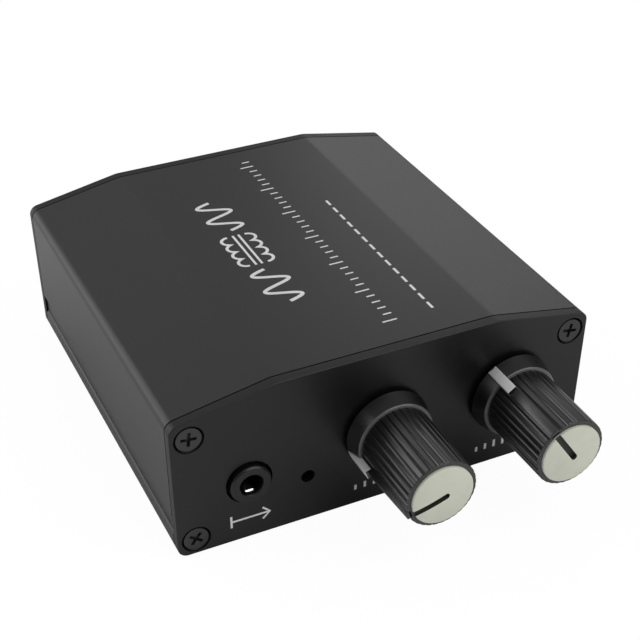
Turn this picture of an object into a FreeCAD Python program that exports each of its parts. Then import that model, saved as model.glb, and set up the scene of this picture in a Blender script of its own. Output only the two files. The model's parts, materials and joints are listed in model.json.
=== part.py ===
import FreeCAD, Part
import math
import os
import Sketcher
from types import SimpleNamespace
from FreeCAD import Rotation, Vector

# Audio isolation amplifier. Millimetres. X runs to the right along the front panel, Y into
# the depth of the case, Z up. The origin is the centre of the underside of the case, so the
# front panel faces -Y. A dial angle counts clockwise from the top as seen from the front.

# Sizes: name, value or formula of other sizes, what it measures
SIZES = [
    ("case_width", 74.6, "case, side to side"),
    ("case_height", 29.4, "case, ground to flat top"),
    ("shoulder_drop", 3.3, "flat top to the start of the shoulder"),
    ("side_height", "case_height - shoulder_drop", "case, ground to the start of the shoulder"),
    ("flat_width", 39.5, "flat top between the two shoulder lines"),
    ("shell_length", 72.0, "both case halves, panel to panel"),
    ("side_wall", 1.4, "side wall of the upper half"),
    ("roof_wall", 1.4, "roof of the upper half"),
    ("floor_wall", 1.4, "floor of the lower half"),
    ("top_corner_radius", 1.8, "rounding from side to shoulder"),
    ("shoulder_radius", 6.0, "rounding from shoulder to flat top"),
    ("foot_corner_radius", 1.8, "rounding from side to floor"),
    ("split_height", 7.5, "ground to the top edge of the lower half"),
    ("split_gap", 0.12, "open joint line between the halves"),
    ("band_height", 3.8, "plain band along the foot of each side"),
    ("band_recess", 0.35, "strip between band and joint line, set in"),
    ("lip_thickness", 1.0, "lip of the upper half outside the tongue"),
    ("lip_clearance", 0.1, "side play between lip and tongue"),
    ("tongue_rise", 1.4, "tongue above the lower half's outer edge"),
    ("rail_thickness", 1.9, "rail that carries the tongue and the board groove"),
    ("groove_depth", 0.9, "board groove, into the rail"),
    ("groove_slack", 0.05, "board groove above the board"),
    ("ledge_thickness", 1.2, "ledge under the board"),
    ("board_top", 7.8, "ground to the top face of the board"),
    ("board_thickness", 1.6, "circuit board"),
    ("board_side_play", 0.2, "board edge to groove bottom"),
    ("board_end_gap", 1.0, "board end to panel"),
    ("panel_thickness", 1.75, "front and rear panel"),
    ("panel_edge", 0.1, "broken outer edge of each panel"),
    ("screw_side", 3.2, "case side to panel screw"),
    ("screw_low", 3.0, "ground to the lower panel screws"),
    ("screw_drop", 2.8, "start of the shoulder to the upper panel screws"),
    ("screw_high", "side_height - screw_drop", "ground to the upper panel screws"),
    ("port_radius", 2.2, "screw channel, outside"),
    ("port_bore_radius", 1.05, "screw channel, bore"),
    ("port_slot", 1.1, "open slot along a screw channel"),
    ("screw_shank_radius", 1.0, "panel screw shank"),
    ("screw_hole_radius", 1.35, "panel hole under the countersink"),
    ("countersink_radius", 2.5, "countersink at the panel face"),
    ("countersink_step", 0.25, "straight wall of the countersink before its cone"),
    ("screw_head_radius", 2.12, "screw head"),
    ("screw_sink", 0.1, "screw head below the panel face"),
    ("screw_seat_play", 0.03, "screw head to countersink"),
    ("screw_length", 8.0, "panel screw, head included"),
    ("cross_width", 0.55, "arm of the cross recess"),
    ("cross_span", 2.6, "cross recess, tip to tip"),
    ("cross_depth", 0.8, "cross recess"),
    ("control_height", 14.6, "ground to the control shafts"),
    ("left_knob_x", -0.4, "left control shaft, from the middle"),
    ("knob_side", 14.4, "case side to the right control shaft"),
    ("right_knob_x", "case_width / 2 - knob_side", "right control shaft, from the middle"),
    ("left_pointer", -111.0, "dial angle of the left pointer at rest, degrees"),
    ("right_pointer", -35.0, "dial angle of the right pointer at rest, degrees"),
    ("bushing_radius", 3.5, "threaded bushing"),
    ("bushing_length", 7.0, "threaded bushing from its mounting face"),
    ("bushing_play", 0.1, "bushing to panel hole"),
    ("control_width", 9.8, "control housing, side to side"),
    ("control_above", 5.0, "control housing above its shaft"),
    ("control_stand", 1.2, "board to control housing"),
    ("control_below", "control_height - board_top - control_stand", "control housing below its shaft"),
    ("control_plate", 1.2, "mounting plate of the control"),
    ("control_depth", 10.0, "control housing behind its plate"),
    ("control_end_wall", 1.0, "rear wall of the control housing"),
    ("chamber_wall", 0.55, "housing wall round the rotor's chamber, at its thinnest"),
    ("control_pin_row_1", 3.2, "front pin row behind the mounting plate"),
    ("control_pin_row_2", 7.8, "rear pin row behind the mounting plate"),
    ("control_pin_pitch", 2.5, "pins in a row"),
    ("shaft_radius", 3.0, "control shaft"),
    ("shaft_play", 0.04, "control shaft to bushing"),
    ("flat_offset", 1.5, "shaft centre to its flat"),
    ("flat_length", 9.0, "flat along the shaft's end"),
    ("stub_radius", 1.5, "shaft inside the housing"),
    ("rotor_thickness", 2.0, "wiper rotor"),
    ("rotor_play", 0.35, "rotor to its chamber"),
    ("rotor_radius", "min(control_width / 2; control_below; control_above) - chamber_wall - rotor_play",
     "wiper rotor"),
    ("nut_flats", 10.0, "control nut across flats"),
    ("nut_thickness", 2.0, "control nut"),
    ("thread_play", 0.03, "nut and washer to bushing"),
    ("washer_radius", 5.6, "toothed washer at its rim"),
    ("washer_tooth", 0.5, "washer tooth beyond the rim"),
    ("washer_thickness", 0.5, "toothed washer"),
    ("washer_teeth", 12.0, "teeth of the washer"),
    ("knob_gap", 0.8, "panel face to knob"),
    ("knob_height", 18.65, "knob with its cap"),
    ("collar_radius", 7.5, "knob collar at its base"),
    ("collar_taper", 0.65, "collar, narrower at its front edge"),
    ("collar_height", 3.1, "knob collar"),
    ("collar_edge", 0.3, "broken front edge of the collar"),
    ("grip_radius", 6.2, "fluted grip"),
    ("grip_height", 17.75, "knob base to the end of the grip"),
    ("flute_count", 32.0, "flutes round the grip"),
    ("flute_depth", 0.55, "flute"),
    ("flute_width", 0.5, "flute at the grip's surface"),
    ("flute_margin", 0.1, "flute's cut beyond the grip's surface"),
    ("pointer_width", 1.75, "pointer bar"),
    ("pointer_length", 6.2, "pointer bar from the knob base"),
    ("rib_root", 5.5, "shaft centre to the foot of the rib along the grip"),
    ("rib_crown", 7.15, "shaft centre to the crown of the rib along the grip"),
    ("pointer_sink", 0.05, "outer face of the bar inside the collar's rear rim"),
    ("nut_recess_radius", 6.2, "hollow for the nut"),
    ("nut_recess_depth", 2.8, "hollow for the nut"),
    ("bushing_recess_radius", 4.2, "hollow for the bushing"),
    ("bushing_recess_depth", 5.4, "hollow for the bushing, from the knob base"),
    ("bore_play", 0.03, "knob bore to shaft"),
    ("bore_depth", 15.0, "knob bore, from the knob base"),
    ("shaft_end_gap", 0.3, "shaft end to bottom of the knob bore"),
    ("cap_radius", 5.3, "cap"),
    ("cap_play", 0.05, "cap to its seat"),
    ("cap_seat_depth", 1.1, "cap seat below the grip's end"),
    ("cap_dome", 0.4, "rise of the cap's crown"),
    ("cap_slot_width", 1.05, "slot in the cap"),
    ("cap_slot_depth", 0.8, "slot in the cap, below its crown"),
    ("cap_slot_past", 0.9, "slot past the centre of the cap"),
    ("socket_bore_radius", 1.8, "bore of a 3.5 mm socket"),
    ("socket_mouth", 0.3, "bore wider at its mouth"),
    ("socket_mouth_depth", 0.8, "widening of the bore, from its mouth"),
    ("socket_nose_radius", 3.55, "nose of a socket"),
    ("socket_nose_edge", 0.3, "broken edge of the nose"),
    ("socket_proud", 1.0, "nose in front of its panel"),
    ("socket_hole_radius", 4.0, "panel hole of a socket"),
    ("socket_width", 7.4, "socket housing"),
    ("socket_depth", 12.0, "socket housing"),
    ("socket_above", 3.7, "socket housing above its bore axis"),
    ("socket_rise", 3.8, "board to bore axis"),
    ("socket_bore_length", 13.5, "bore from its mouth"),
    ("contact_gap", 0.06, "contact spring outside the bore radius"),
    ("contact_thickness", 0.2, "contact spring"),
    ("contact_width", 1.4, "contact spring"),
    ("contact_start", 0.85, "lower contact behind the mouth"),
    ("contact_ramp", 0.45, "drop of the lower contact towards the mouth"),
    ("contact_foot", 1.0, "foot of the upper contact on the board"),
    ("output_side", 12.7, "case side to the output socket"),
    ("output_x", "output_side - case_width / 2", "output socket, from the middle"),
    ("input_side", 17.3, "case side to the second input socket"),
    ("input_pitch", 16.0, "first to second input socket"),
    ("input_x_2", "case_width / 2 - input_side", "second input socket, from the middle"),
    ("input_x_1", "input_x_2 - input_pitch", "first input socket, from the middle"),
    ("lamp_pitch", 10.25, "output socket to indicator lamp"),
    ("lamp_x", "output_x + lamp_pitch", "indicator lamp, from the middle"),
    ("lamp_rise", 1.25, "board to lamp axis"),
    ("lamp_radius", 1.1, "lamp lens"),
    ("lamp_length", 3.0, "lamp lens without its flange"),
    ("lamp_hole_play", 0.1, "lens to panel hole"),
    ("lamp_set_back", 0.3, "lens tip behind the panel"),
    ("power_side", 17.3, "case side to the power socket"),
    ("power_x", "power_side - case_width / 2", "power socket, from the middle"),
    ("power_rise", 6.5, "board to power socket axis"),
    ("power_width", 9.0, "power socket housing"),
    ("power_depth", 14.0, "power socket housing"),
    ("power_above", 4.5, "power socket housing above its axis"),
    ("power_bore_radius", 3.1, "power socket bore"),
    ("power_bore_depth", 9.5, "power socket bore"),
    ("power_hole_radius", 4.0, "panel hole of the power socket"),
    ("power_pin_radius", 1.0, "power socket centre pin"),
    ("power_pin_set_back", 0.6, "pin tip behind the panel"),
    ("power_lug_width", 2.4, "power socket lugs"),
    ("power_lug_thickness", 0.3, "power socket lugs"),
    ("core_width", 14.0, "transformer core"),
    ("core_height", 11.5, "transformer core"),
    ("core_stack", 5.0, "transformer core, lamination stack"),
    ("core_leg", 3.8, "centre leg of the core"),
    ("core_yoke", 2.0, "yokes of the core"),
    ("core_outer_leg", 2.3, "outer legs of the core"),
    ("core_rise", 0.4, "board to core"),
    ("bobbin_play", 0.05, "bobbin to core"),
    ("bobbin_wall", 0.5, "bobbin tube"),
    ("bobbin_flange", 0.7, "bobbin flanges"),
    ("bobbin_length", 11.0, "bobbin along the stack"),
    ("winding_inset", 0.1, "winding inside the bobbin flange"),
    ("transformer_y", -8.0, "both transformers, from the middle"),
    ("transformer_pin_pitch", 3.0, "transformer pins in a row"),
    ("transformer_pin_row", 4.4, "transformer's middle to its pin rows"),
    ("pin_side", 0.6, "square pins through the board"),
    ("pin_hole_play", 0.15, "pin to board hole"),
    ("pin_below", 1.0, "pins below the board"),
    ("can_radius", 3.15, "electrolytic capacitor can"),
    ("can_height", 5.4, "electrolytic capacitor can"),
    ("can_base", 6.6, "electrolytic capacitor base"),
    ("can_base_height", 1.0, "electrolytic capacitor base"),
    ("chip_stand", 0.1, "board to moulded chips"),
    ("amplifier_y", 8.0, "amplifier chips, from the middle"),
    ("amplifier_length", 4.9, "amplifier chip, along its lead rows"),
    ("amplifier_width", 3.9, "amplifier chip"),
    ("amplifier_height", 1.5, "amplifier chip"),
    ("amplifier_lead_pitch", 1.27, "leads of an amplifier chip"),
    ("amplifier_lead_reach", 1.05, "lead beyond the chip"),
    ("amplifier_lead_rise", 0.6, "board to the lead's shoulder"),
    ("lead_width", 0.42, "chip leads"),
    ("lead_thickness", 0.2, "chip leads"),
    ("regulator_y", 12.0, "voltage regulator, from the middle"),
    ("regulator_width", 3.5, "voltage regulator"),
    ("regulator_length", 6.5, "voltage regulator, along its lead row"),
    ("regulator_height", 1.6, "voltage regulator"),
    ("regulator_lead_pitch", 2.3, "leads of the regulator"),
    ("regulator_lead_reach", 1.6, "lead or tab beyond the regulator"),
    ("regulator_lead_rise", 0.7, "board to the lead's shoulder"),
    ("regulator_tab_width", 3.0, "tab of the regulator"),
    ("regulator_tab_thickness", 0.3, "tab of the regulator"),
    ("resistor_y", 14.5, "row of chip resistors, from the middle"),
    ("resistor_length", 2.0, "chip resistor"),
    ("resistor_width", 1.25, "chip resistor"),
    ("resistor_height", 0.55, "chip resistor"),
    ("ceramic_y", 2.0, "row of ceramic capacitors, from the middle"),
    ("ceramic_length", 3.2, "ceramic capacitor"),
    ("ceramic_width", 1.6, "ceramic capacitor"),
    ("ceramic_height", 1.2, "ceramic capacitor"),
]

# Places across the board, in shares of its half width, from left to right
TRANSFORMER_SHARES = (-0.43, 0.14)
AMPLIFIER_SHARES = (-0.43, 0.0)
REGULATOR_SHARE = 0.57
CAPACITOR_SHARES = (0.57, 0.57, -0.74, 0.26)
RESISTOR_SHARES = tuple(column * 0.115 - 0.57 for column in range(9))
CERAMIC_SHARES = tuple(column * 0.17 - 0.6 for column in range(6))

# Places of the electrolytic capacitors along the board, in shares of its half length
CAPACITOR_DEPTHS = (-0.4, -0.143, 0.229, 0.229)

# Turn of each screw of a panel, in degrees: lower left, lower right, upper left, upper right
SCREW_TURNS = (38.0, 17.0, 6.0, 12.0)

OUTPUT_FOLDER = "parts"
FULL_TURN = 360.0

doc = FreeCAD.newDocument("audio_isolation_amplifier")
sheet = doc.addObject("Spreadsheet::Sheet", "sizes")
finished = []


class Measure:
    """A length that knows both its value and the expression of sheet cells that gives it."""

    def __init__(self, text, value):
        self.text = text
        self.value = value

    def __add__(self, other):
        return Measure(f"({self.text} + {text_of(other)})", self.value + value_of(other))

    def __radd__(self, other):
        return self + other

    def __sub__(self, other):
        return Measure(f"({self.text} - {text_of(other)})", self.value - value_of(other))

    def __rsub__(self, other):
        return Measure(f"({text_of(other)} - {self.text})", value_of(other) - self.value)

    def __mul__(self, other):
        return Measure(f"({self.text} * {text_of(other)})", self.value * value_of(other))

    def __rmul__(self, other):
        return self * other

    def __truediv__(self, other):
        return Measure(f"({self.text} / {text_of(other)})", self.value / value_of(other))

    def __neg__(self):
        return Measure(f"(0 - {self.text})", -self.value)


def text_of(length):
    return length.text if isinstance(length, Measure) else repr(float(length))


def value_of(length):
    return length.value if isinstance(length, Measure) else float(length)


def fill_sheet():
    """Writes the sizes into the sheet and returns them as measures by name."""
    measures = {}
    for row, (name, value, note) in enumerate(SIZES, start=1):
        sheet.set(f"A{row}", name)
        sheet.setAlias(f"B{row}", name)
        sheet.set(f"B{row}", "=" + value if isinstance(value, str) else repr(value))
        sheet.set(f"C{row}", note)
    doc.recompute()
    for name, value, note in SIZES:
        measures[name] = Measure(f"sizes.{name}", float(sheet.get(name)))
    return SimpleNamespace(**measures)


s = fill_sheet()


# Document helpers

def bind(item, path, length):
    item.setExpression(path, text_of(length))


def finish(item, node):
    """Names a sub-part after its node and keeps it for the checks and the export."""
    item.Label = node
    finished.append(item)
    return item


def place(item, x=0.0, y=0.0, z=0.0):
    bind(item, "Placement.Base.x", x)
    bind(item, "Placement.Base.y", y)
    bind(item, "Placement.Base.z", z)


def new_body(name):
    return doc.addObject("PartDesign::Body", name)


def new_sketch(body, name, role, shift=0.0):
    """A sketch on one of the body's own origin planes, shifted along the plane's normal."""
    plane = [feature for feature in body.Origin.OriginFeatures if feature.Role == role][0]
    sketch = body.newObject("Sketcher::SketchObject", name)
    sketch.AttachmentSupport = (plane, [""])
    sketch.MapMode = "FlatFace"
    bind(sketch, "AttachmentOffset.Base.z", shift)
    return sketch


def hold(sketch, kind, geometry, point, length):
    """A driving constraint bound to the sheet."""
    if point is None:
        constraint = Sketcher.Constraint(kind, geometry, value_of(length))
    else:
        constraint = Sketcher.Constraint(kind, geometry, point, value_of(length))
    index = sketch.addConstraint(constraint)
    bind(sketch, f"Constraints[{index}]", length)


def add_outline(sketch, corners):
    """A closed run of straight lines through corners given as pairs of lengths."""
    first = sketch.GeometryCount
    count = len(corners)
    points = [Vector(value_of(x), value_of(y), 0) for x, y in corners]
    for index in range(count):
        sketch.addGeometry(Part.LineSegment(points[index], points[(index + 1) % count]), False)
    for index, (x, y) in enumerate(corners):
        following = first + (index + 1) % count
        sketch.addConstraint(Sketcher.Constraint("Coincident", first + index, 2, following, 1))
        hold(sketch, "DistanceX", first + index, 1, x)
        hold(sketch, "DistanceY", first + index, 1, y)


def add_circle(sketch, x, y, radius):
    centre = Vector(value_of(x), value_of(y), 0)
    index = sketch.addGeometry(Part.Circle(centre, Vector(0, 0, 1), value_of(radius)), False)
    hold(sketch, "DistanceX", index, 3, x)
    hold(sketch, "DistanceY", index, 3, y)
    hold(sketch, "Radius", index, None, radius)


def rectangle(left, right, low, high):
    return [(left, low), (right, low), (right, high), (left, high)]


def mirrored(right_half):
    """A whole outline from its right half, listed from the bottom upwards."""
    return right_half + [(-x, y) for x, y in reversed(right_half)]


def pad(body, sketch, length, middle=False, backward=False):
    feature = body.newObject("PartDesign::Pad", sketch.Name + "_pad")
    feature.Profile = sketch
    feature.SideType = "Symmetric" if middle else "One side"
    feature.Reversed = backward
    bind(feature, "Length", length)
    doc.recompute()
    return feature


def pocket(body, sketch, length, middle=False, backward=False):
    """A cut whose volume has to change, because one that points away cuts nothing."""
    before = body.Shape.Volume
    feature = body.newObject("PartDesign::Pocket", sketch.Name + "_pocket")
    feature.Profile = sketch
    feature.SideType = "Symmetric" if middle else "One side"
    feature.Reversed = backward
    bind(feature, "Length", length)
    doc.recompute()
    if not body.Shape.Volume < before:
        raise RuntimeError(feature.Name + " cuts nothing")
    return feature


def revolve(body, sketch):
    feature = body.newObject("PartDesign::Revolution", sketch.Name + "_turned")
    feature.Profile = sketch
    feature.ReferenceAxis = (sketch, ["V_Axis"])
    feature.Angle = FULL_TURN
    doc.recompute()
    return feature


def round_pattern(body, feature, count):
    """Repeats a feature round the body's Y axis."""
    axis = [item for item in body.Origin.OriginFeatures if item.Role == "Y_Axis"][0]
    pattern = body.newObject("PartDesign::PolarPattern", feature.Name + "_round")
    pattern.Originals = [feature]
    pattern.Axis = (axis, [""])
    pattern.Angle = FULL_TURN
    bind(pattern, "Occurrences", count)
    body.Tip = pattern
    doc.recompute()
    return pattern


def edges_along_y(shape, places):
    """Names of the straight edges along Y that pass through the places (x, z)."""
    names = []
    for number, edge in enumerate(shape.Edges, start=1):
        ends = [vertex.Point for vertex in edge.Vertexes]
        if len(ends) != 2 or abs(ends[0].x - ends[1].x) > 1e-6 or abs(ends[0].z - ends[1].z) > 1e-6:
            continue
        if any(math.hypot(ends[0].x - x, ends[0].z - z) < 1e-4 for x, z in places):
            names.append(f"Edge{number}")
    return names


def fillet(body, feature, places, radius):
    rounding = body.newObject("PartDesign::Fillet", feature.Name + "_round")
    rounding.Base = (feature, edges_along_y(feature.Shape, places))
    bind(rounding, "Radius", radius)
    doc.recompute()
    return rounding


def box(name, x0, x1, y0, y1, z0, z1):
    item = doc.addObject("Part::Box", name)
    bind(item, "Length", x1 - x0)
    bind(item, "Width", y1 - y0)
    bind(item, "Height", z1 - z0)
    place(item, x0, y0, z0)
    return item


def square_pin(name, x, y, low, high):
    half = s.pin_side / 2
    return box(name, x - half, x + half, y - half, y + half, low, high)


def cylinder(name, radius, height, x=0.0, y=0.0, z=0.0, forward=False):
    """An upright cylinder, or one that runs towards -Y."""
    item = doc.addObject("Part::Cylinder", name)
    if forward:
        item.Placement.Rotation = Rotation(Vector(1, 0, 0), 90)
    bind(item, "Radius", radius)
    bind(item, "Height", height)
    place(item, x, y, z)
    return item


def prism(name, corners, x, width):
    """A profile in the YZ plane, extruded along X about the middle x."""
    body = new_body(name)
    sketch = new_sketch(body, name + "_profile", "YZ_Plane", x)
    add_outline(sketch, corners)
    pad(body, sketch, width, middle=True)
    return body


def fuse(name, parts):
    item = doc.addObject("Part::MultiFuse", name)
    item.Shapes = parts
    return item


def cut(name, base, tools):
    item = doc.addObject("Part::Cut", name)
    item.Base = base
    item.Tool = tools[0] if len(tools) == 1 else fuse(name + "_tools", tools)
    return item


def group(name, parts):
    item = doc.addObject("Part::Compound", name)
    item.Links = parts
    return item


def turned_round(item):
    """Faces a front item to the rear."""
    item.Placement.Rotation = Rotation(Vector(0, 0, 1), 180)
    return item


# Places that several sub-parts share

half_width = s.case_width / 2
half_flat = s.flat_width / 2
panel_back = s.shell_length / 2
panel_face = panel_back + s.panel_thickness
lip_inside = half_width - s.lip_thickness
tongue_outside = lip_inside - s.lip_clearance
rail_inside = tongue_outside - s.rail_thickness
groove_bottom = rail_inside + s.groove_depth
tongue_top = s.split_height + s.tongue_rise
board_under = s.board_top - s.board_thickness
board_half = groove_bottom - s.board_side_play
screw_x = half_width - s.screw_side
socket_height = s.board_top + s.socket_rise
lamp_height = s.board_top + s.lamp_rise
power_height = s.board_top + s.power_rise
screw_places = [(side * screw_x, height) for height in (s.screw_low, s.screw_high) for side in (-1, 1)]
board_end = s.shell_length / 2 - s.board_end_gap


# Case

def add_screw_ports(body, name, height):
    """Two open screw channels along the case half."""
    sleeve = new_sketch(body, name + "_ports", "XZ_Plane")
    bore = new_sketch(body, name + "_port_bores", "XZ_Plane")
    slot = new_sketch(body, name + "_port_slots", "XZ_Plane")
    for side in (-1, 1):
        add_circle(sleeve, side * screw_x, height, s.port_radius)
        add_circle(bore, side * screw_x, height, s.port_bore_radius)
        inner = side * (screw_x - s.port_radius - s.port_slot)
        ends = (inner, side * screw_x) if side > 0 else (side * screw_x, inner)
        add_outline(slot, rectangle(*ends, height - s.port_slot / 2, height + s.port_slot / 2))
    pad(body, sleeve, s.shell_length, middle=True)
    pocket(body, bore, s.shell_length, middle=True)
    pocket(body, slot, s.shell_length, middle=True)


def upper_shell():
    """Roof, shoulders and sides down to the lip that closes over the tongue."""
    body = new_body("upper_shell")
    lip_end = s.split_height + s.split_gap
    outside = new_sketch(body, "upper_outside", "XZ_Plane")
    add_outline(outside, mirrored([
        (half_width, lip_end),
        (half_width, s.side_height),
        (half_flat, s.case_height),
    ]))
    solid = pad(body, outside, s.shell_length, middle=True)
    shoulders = [(side * half_flat.value, s.case_height.value) for side in (-1, 1)]
    corners = [(side * half_width.value, s.side_height.value) for side in (-1, 1)]
    eased = fillet(body, solid, shoulders, s.shoulder_radius)
    fillet(body, eased, corners, s.top_corner_radius)
    inside = new_sketch(body, "upper_inside", "XZ_Plane")
    add_outline(inside, mirrored([
        (lip_inside, lip_end - s.split_gap),
        (lip_inside, tongue_top),
        (half_width - s.side_wall, tongue_top),
        (half_width - s.side_wall, s.side_height - s.roof_wall),
        (half_flat, s.case_height - s.roof_wall),
    ]))
    pocket(body, inside, s.shell_length, middle=True)
    add_screw_ports(body, "upper", s.screw_high)
    return finish(body, "upper_shell")


def lower_shell():
    """Floor and low sides with the board groove and the tongue of the joint."""
    body = new_body("lower_shell")
    recess_x = half_width - s.band_recess
    section = new_sketch(body, "lower_section", "XZ_Plane")
    right = [
        (half_width, 0.0),
        (half_width, s.band_height),
        (recess_x, s.band_height + s.band_recess),
        (recess_x, s.split_height),
        (tongue_outside, s.split_height),
        (tongue_outside, tongue_top),
        (rail_inside, tongue_top),
        (rail_inside, s.board_top + s.groove_slack),
        (groove_bottom, s.board_top + s.groove_slack),
        (groove_bottom, board_under),
        (rail_inside, board_under),
        (rail_inside, board_under - s.ledge_thickness),
        (half_width - s.side_wall, board_under - s.ledge_thickness),
        (half_width - s.side_wall, s.floor_wall),
    ]
    add_outline(section, mirrored(right))
    solid = pad(body, section, s.shell_length, middle=True)
    feet = [(side * half_width.value, 0.0) for side in (-1, 1)]
    fillet(body, solid, feet, s.foot_corner_radius)
    add_screw_ports(body, "lower", s.screw_low)
    return finish(body, "lower_shell")


def panel(name, forward, holes):
    """An end panel with countersunk corner holes; forward is -1 for the front panel, 1 for the rear."""
    body = new_body(name)
    face = forward * panel_face
    outline = new_sketch(body, name + "_outline", "XZ_Plane", -1 * face)
    add_outline(outline, mirrored([
        (half_width, 0.0),
        (half_width, s.side_height),
        (half_flat, s.case_height),
    ]))
    rear = forward > 0
    plate = pad(body, outline, s.panel_thickness, backward=not rear)
    shoulders = [(side * half_flat.value, s.case_height.value) for side in (-1, 1)]
    corners = [(side * half_width.value, s.side_height.value) for side in (-1, 1)]
    feet = [(side * half_width.value, 0.0) for side in (-1, 1)]
    plate = fillet(body, plate, shoulders, s.shoulder_radius)
    plate = fillet(body, plate, corners, s.top_corner_radius)
    plate = fillet(body, plate, feet, s.foot_corner_radius)
    edges = body.newObject("PartDesign::Chamfer", name + "_edges")
    ends = [number for number, edge in enumerate(plate.Shape.Edges, start=1)
            if edge.BoundBox.YLength < 1e-6 and abs(edge.BoundBox.YMax - face.value) < 1e-6]
    edges.Base = (plate, [f"Edge{number}" for number in ends])
    bind(edges, "Size", s.panel_edge)
    doc.recompute()
    cuts = new_sketch(body, name + "_holes", "XZ_Plane", -1 * face)
    for x, z, radius in holes:
        add_circle(cuts, x, z, radius)
    for x, z in screw_places:
        add_circle(cuts, x, z, s.screw_hole_radius)
    pocket(body, cuts, s.panel_thickness, backward=rear)
    for number, (x, z) in enumerate(screw_places):
        add_countersink(body, f"{name}_countersink_{number}", x, z, forward)
    return finish(body, name)


def add_countersink(body, name, x, z, forward):
    """A step and a right-angled cone cut at one screw, turned about the screw's axis."""
    face = forward * panel_face
    sink = s.countersink_radius - s.screw_hole_radius
    sketch = new_sketch(body, name, "XY_Plane", z)
    step = face - forward * s.countersink_step
    inner = step - forward * sink
    add_outline(sketch, [
        (x, face), (x + s.countersink_radius, face), (x + s.countersink_radius, step),
        (x + s.screw_hole_radius, inner), (x, inner),
    ])
    groove = body.newObject("PartDesign::Groove", name + "_cut")
    groove.Profile = sketch
    groove.ReferenceAxis = (sketch, ["Edge5"])
    groove.Angle = FULL_TURN
    doc.recompute()


def front_panel():
    holes = [
        (s.output_x, socket_height, s.socket_hole_radius),
        (s.lamp_x, lamp_height, s.lamp_radius + s.lamp_hole_play),
        (s.left_knob_x, s.control_height, s.bushing_radius + s.bushing_play),
        (s.right_knob_x, s.control_height, s.bushing_radius + s.bushing_play),
    ]
    return panel("front_panel", -1, holes)


def rear_panel():
    holes = [
        (s.input_x_1, socket_height, s.socket_hole_radius),
        (s.input_x_2, socket_height, s.socket_hole_radius),
        (s.power_x, power_height, s.power_hole_radius),
    ]
    return panel("rear_panel", 1, holes)


def panel_screws(node, forward):
    """Four screws with a low straight rim round a cone and cross recesses, each at its own turn."""
    narrowing = s.countersink_radius - s.screw_head_radius
    rim = s.countersink_step + narrowing - s.screw_sink - s.screw_seat_play
    cone = s.screw_head_radius - s.screw_shank_radius
    body = new_body(node + "_master")
    profile = new_sketch(body, node + "_profile", "XY_Plane")
    add_outline(profile, [
        (0.0, 0.0),
        (s.screw_head_radius, 0.0),
        (s.screw_head_radius, rim),
        (s.screw_shank_radius, rim + cone),
        (s.screw_shank_radius, s.screw_length),
        (0.0, s.screw_length),
    ])
    revolve(body, profile)
    arm = s.cross_width / 2
    reach = s.cross_span / 2
    cross = new_sketch(body, node + "_cross", "XZ_Plane")
    add_outline(cross, [
        (arm, -reach), (arm, -arm), (reach, -arm), (reach, arm), (arm, arm), (arm, reach),
        (-arm, reach), (-arm, arm), (-reach, arm), (-reach, -arm), (-arm, -arm), (-arm, -reach),
    ])
    pocket(body, cross, s.cross_depth, backward=False)
    screws = []
    for number, (x, z) in enumerate(screw_places):
        screw = doc.addObject("App::Link", f"{node}_{number}")
        screw.LinkedObject = body
        if forward > 0:
            turned_round(screw)
        turn = Rotation(Vector(0, 1, 0), SCREW_TURNS[number])
        screw.Placement.Rotation = screw.Placement.Rotation * turn
        place(screw, x, forward * (panel_face - s.screw_sink), z)
        screws.append(screw)
    return finish(group(node, screws), node)


def circuit_board():
    """Board in the grooves of the lower half, with holes for the pins that pass through it."""
    body = new_body("circuit_board")
    sketch = new_sketch(body, "board_outline", "XY_Plane", board_under)
    add_outline(sketch, rectangle(-board_half, board_half, -board_end, board_end))
    pad(body, sketch, s.board_thickness)
    places = []
    for x, y in control_pin_places() + transformer_pin_places():
        half = s.pin_side / 2
        places.append((x - half, x + half, y - half, y + half))
    holes = new_sketch(body, "board_holes", "XY_Plane", board_under)
    for x0, x1, y0, y1 in places + power_lug_places():
        add_outline(holes, rectangle(x0 - s.pin_hole_play, x1 + s.pin_hole_play,
                                     y0 - s.pin_hole_play, y1 + s.pin_hole_play))
    pocket(body, holes, s.board_thickness, backward=True)
    return finish(body, "circuit_board")


# Controls

pin_rows = (s.control_pin_row_1, s.control_pin_row_2)


def control_pin_places():
    """Board positions of the six pins of both controls, in two rows of three."""
    return [(x + column * s.control_pin_pitch, -1 * panel_back + s.control_plate + row)
            for x in (s.left_knob_x, s.right_knob_x) for row in pin_rows for column in (-1, 0, 1)]


def turn_to_pointer(item, pointer):
    """Turns a piece about the control's axis, clockwise from the top as seen from the front."""
    item.Placement.Rotation = Rotation(Vector(0, 1, 0), 1.0)
    bind(item, "Placement.Rotation.Angle", pointer)


def control_bushing(side, x):
    """Die-cast mounting plate and threaded bushing in one piece."""
    body = new_body(side + "_control_bushing")
    half = s.control_width / 2
    plate = new_sketch(body, side + "_plate", "XZ_Plane")
    add_outline(plate, rectangle(-half, half, -s.control_below, s.control_above))
    pad(body, plate, s.control_plate, backward=True)
    sleeve = new_sketch(body, side + "_sleeve", "XZ_Plane")
    add_circle(sleeve, 0.0, 0.0, s.bushing_radius)
    pad(body, sleeve, s.bushing_length)
    bore = new_sketch(body, side + "_bushing_bore", "XZ_Plane", s.bushing_length)
    add_circle(bore, 0.0, 0.0, s.shaft_radius + s.shaft_play)
    pocket(body, bore, s.bushing_length + s.control_plate)
    place(body, x, -panel_back, s.control_height)
    return finish(body, side + "_control_bushing")


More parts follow.
